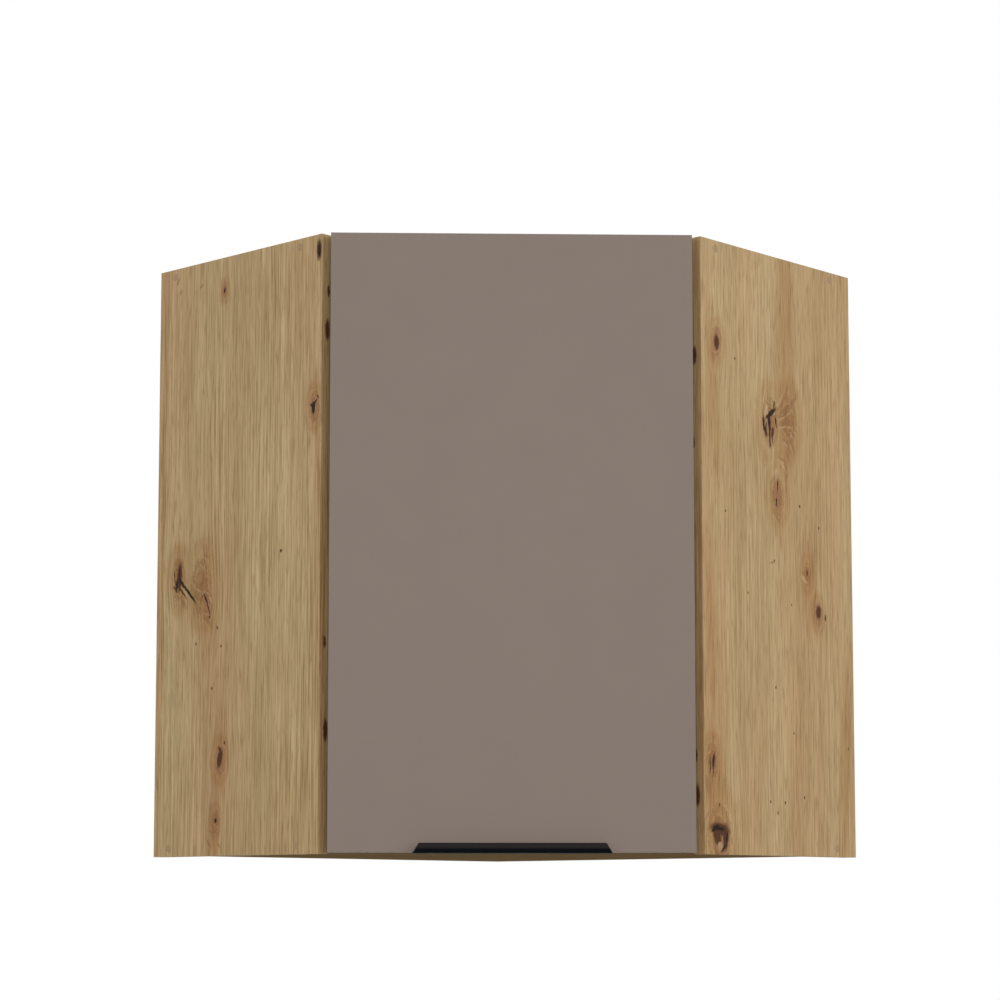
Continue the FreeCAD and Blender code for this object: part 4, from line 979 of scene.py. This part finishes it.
# Stage
CAMERA_PLACE = (-0.1047, -3.3823, -0.0615)
CAMERA_YAW = 0.0296         # to the right of +Y
CAMERA_PITCH = 0.1059       # above the horizon
CAMERA_SHIFT = 0.12
LAMPS = (
    # name, place, size, brightness of a white face that it lights squarely from there
    ("right_softbox", (4.7, -5.2, 1.6), 4, 0.32),
    ("left_softbox", (-4.7, -5.2, 1.4), 4, 0.16),
    ("front_softbox", (0, -7.5, 0.9), 3, 0.28),
    ("top_softbox", (0, 0.4, 4.2), 3, 0.45),
    ("rear_softbox", (0.6, 4.2, 2.2), 3, 0.45),
)


def seen_by_eye(tree):
    """1 for what the camera sees directly, mirrored or through something clear, and 0 for other light."""
    rays = add(tree, "LightPath").outputs
    seen = add(tree, "Math", rays["Is Camera Ray"], rays["Is Glossy Ray"], operation="MAXIMUM")
    return add(tree, "Math", seen, rays["Is Transmission Ray"], operation="MAXIMUM")


class CABINET_OT_stage(bpy.types.Operator):
    """Pale floor, white surroundings, soft lights and the camera"""
    bl_idname = "cabinet.stage"
    bl_label = "Stage"

    def execute(self, context):
        stage = context.scene.cabinet_stage
        scene = context.scene
        scene.view_settings.view_transform = "Standard"
        self.add_floor(stage)
        self.add_world(stage)
        aim = Vector((0, 0, (CAD_BOX[0].z + CAD_BOX[1].z) / 2))
        for name, place, size, strength in LAMPS:
            self.add_lamp(name, Vector(place), aim, size, strength)
        camera_data = bpy.data.cameras.new("camera")
        camera_data.lens = stage.lens
        camera_data.shift_y = CAMERA_SHIFT
        camera = placed("camera", camera_data)
        camera.location = CAMERA_PLACE
        camera.rotation_euler = (math.pi / 2 + CAMERA_PITCH, 0, -CAMERA_YAW)
        scene.camera = camera
        return {"FINISHED"}

    def add_lamp(self, name, place, aim, size, strength):
        lamp = bpy.data.lights.new(name, "AREA")
        lamp.shape = "SQUARE"
        lamp.size = size
        lamp.energy = strength * math.pi ** 2 * (place - aim).length_squared
        made = placed(name, lamp)
        made.location = place
        made.rotation_euler = (aim - place).to_track_quat("-Z", "Y").to_euler()

    def add_floor(self, stage):
        mesh = bmesh.new()
        bmesh.ops.create_circle(mesh, cap_ends=True, segments=FLOOR_STEPS, radius=stage.floor_radius,
                                matrix=Matrix.Translation((0, 0, -stage.floor_drop)))
        data = written("studio_floor", mesh)
        material, tree, shader = new_material("pale_studio_floor", Roughness=0.9)
        seen = seen_by_eye(tree)
        pale = mottled(tree, FLOOR_CLOUD, 2, linear("#FBFBFB"), linear("#FFFFFF"))[1]
        colour = add(tree, "Mix", seen, {"A": linear("#7F7D7A"), "B": pale}, data_type="RGBA")
        join(tree, colour, shader.inputs["Base Color"])
        far = add(tree, "VectorMath", add(tree, "TexCoord").outputs["Object"], operation="LENGTH")
        fade = add(tree, "MapRange", far, stage.fade_start, stage.fade_end, interpolation_type="SMOOTHSTEP")
        fade = add(tree, "Math", fade, seen, operation="MULTIPLY")
        haze = add(tree, "Emission", linear("#FFFFFF"))
        mixed = add(tree, "MixShader", fade, shader, haze)
        join(tree, mixed, tree.nodes["Material Output"].inputs["Surface"])
        data.materials.append(material)
        placed("studio_floor", data)

    def add_world(self, stage):
        world = bpy.data.worlds.new("white_studio")
        world.use_nodes = True
        tree = world.node_tree
        tree.nodes.clear()
        seen = seen_by_eye(tree)
        strength = add(tree, "Mix", seen, {"A": stage.sky, "B": 1})
        add(tree, "OutputWorld", add(tree, "Background", linear("#FFFFFF"), strength))
        bpy.context.scene.world = world


class CABINET_PT_panel(bpy.types.Panel):
    """Buttons and settings of the corner wall cabinet"""
    bl_label = "Corner Wall Cabinet"
    bl_idname = "CABINET_PT_panel"
    bl_space_type = "VIEW_3D"
    bl_region_type = "UI"
    bl_category = "Cabinet"

    def draw(self, context):
        for group in (context.scene.cabinet_boards, context.scene.cabinet_door,
                      context.scene.cabinet_fittings, context.scene.cabinet_stage):
            box = self.layout.box()
            for name in group.__annotations__:
                box.prop(group, name)
        for operator in OPERATORS:
            self.layout.operator(operator.bl_idname)


SETTINGS = {"cabinet_boards": BoardSettings, "cabinet_door": DoorSettings,
            "cabinet_fittings": FittingSettings, "cabinet_stage": StageSettings}
OPERATORS = (CABINET_OT_side_panels, CABINET_OT_top_and_bottom, CABINET_OT_shelves,
             CABINET_OT_post_and_backs, CABINET_OT_joinery, CABINET_OT_cover_caps,
             CABINET_OT_shelf_pins, CABINET_OT_hanging_brackets, CABINET_OT_hinges,
             CABINET_OT_door, CABINET_OT_bumpers, CABINET_OT_handle, CABINET_OT_stage)


def register():
    for name, group in SETTINGS.items():
        bpy.utils.register_class(group)
        setattr(bpy.types.Scene, name, bpy.props.PointerProperty(type=group))
    for item in (*OPERATORS, CABINET_PT_panel):
        bpy.utils.register_class(item)


def unregister():
    for item in (CABINET_PT_panel, *reversed(OPERATORS)):
        bpy.utils.unregister_class(item)
    for name, group in SETTINGS.items():
        delattr(bpy.types.Scene, name)
        bpy.utils.unregister_class(group)


def main():
    register()
    bpy.ops.cabinet.side_panels()
    bpy.ops.cabinet.top_and_bottom()
    bpy.ops.cabinet.shelves()
    bpy.ops.cabinet.post_and_backs()
    bpy.ops.cabinet.joinery()
    bpy.ops.cabinet.cover_caps()
    bpy.ops.cabinet.shelf_pins()
    bpy.ops.cabinet.hanging_brackets()
    bpy.ops.cabinet.hinges()
    bpy.ops.cabinet.door()
    bpy.ops.cabinet.bumpers()
    bpy.ops.cabinet.handle()
    bpy.ops.cabinet.stage()


if __name__ == "__main__":
    main()
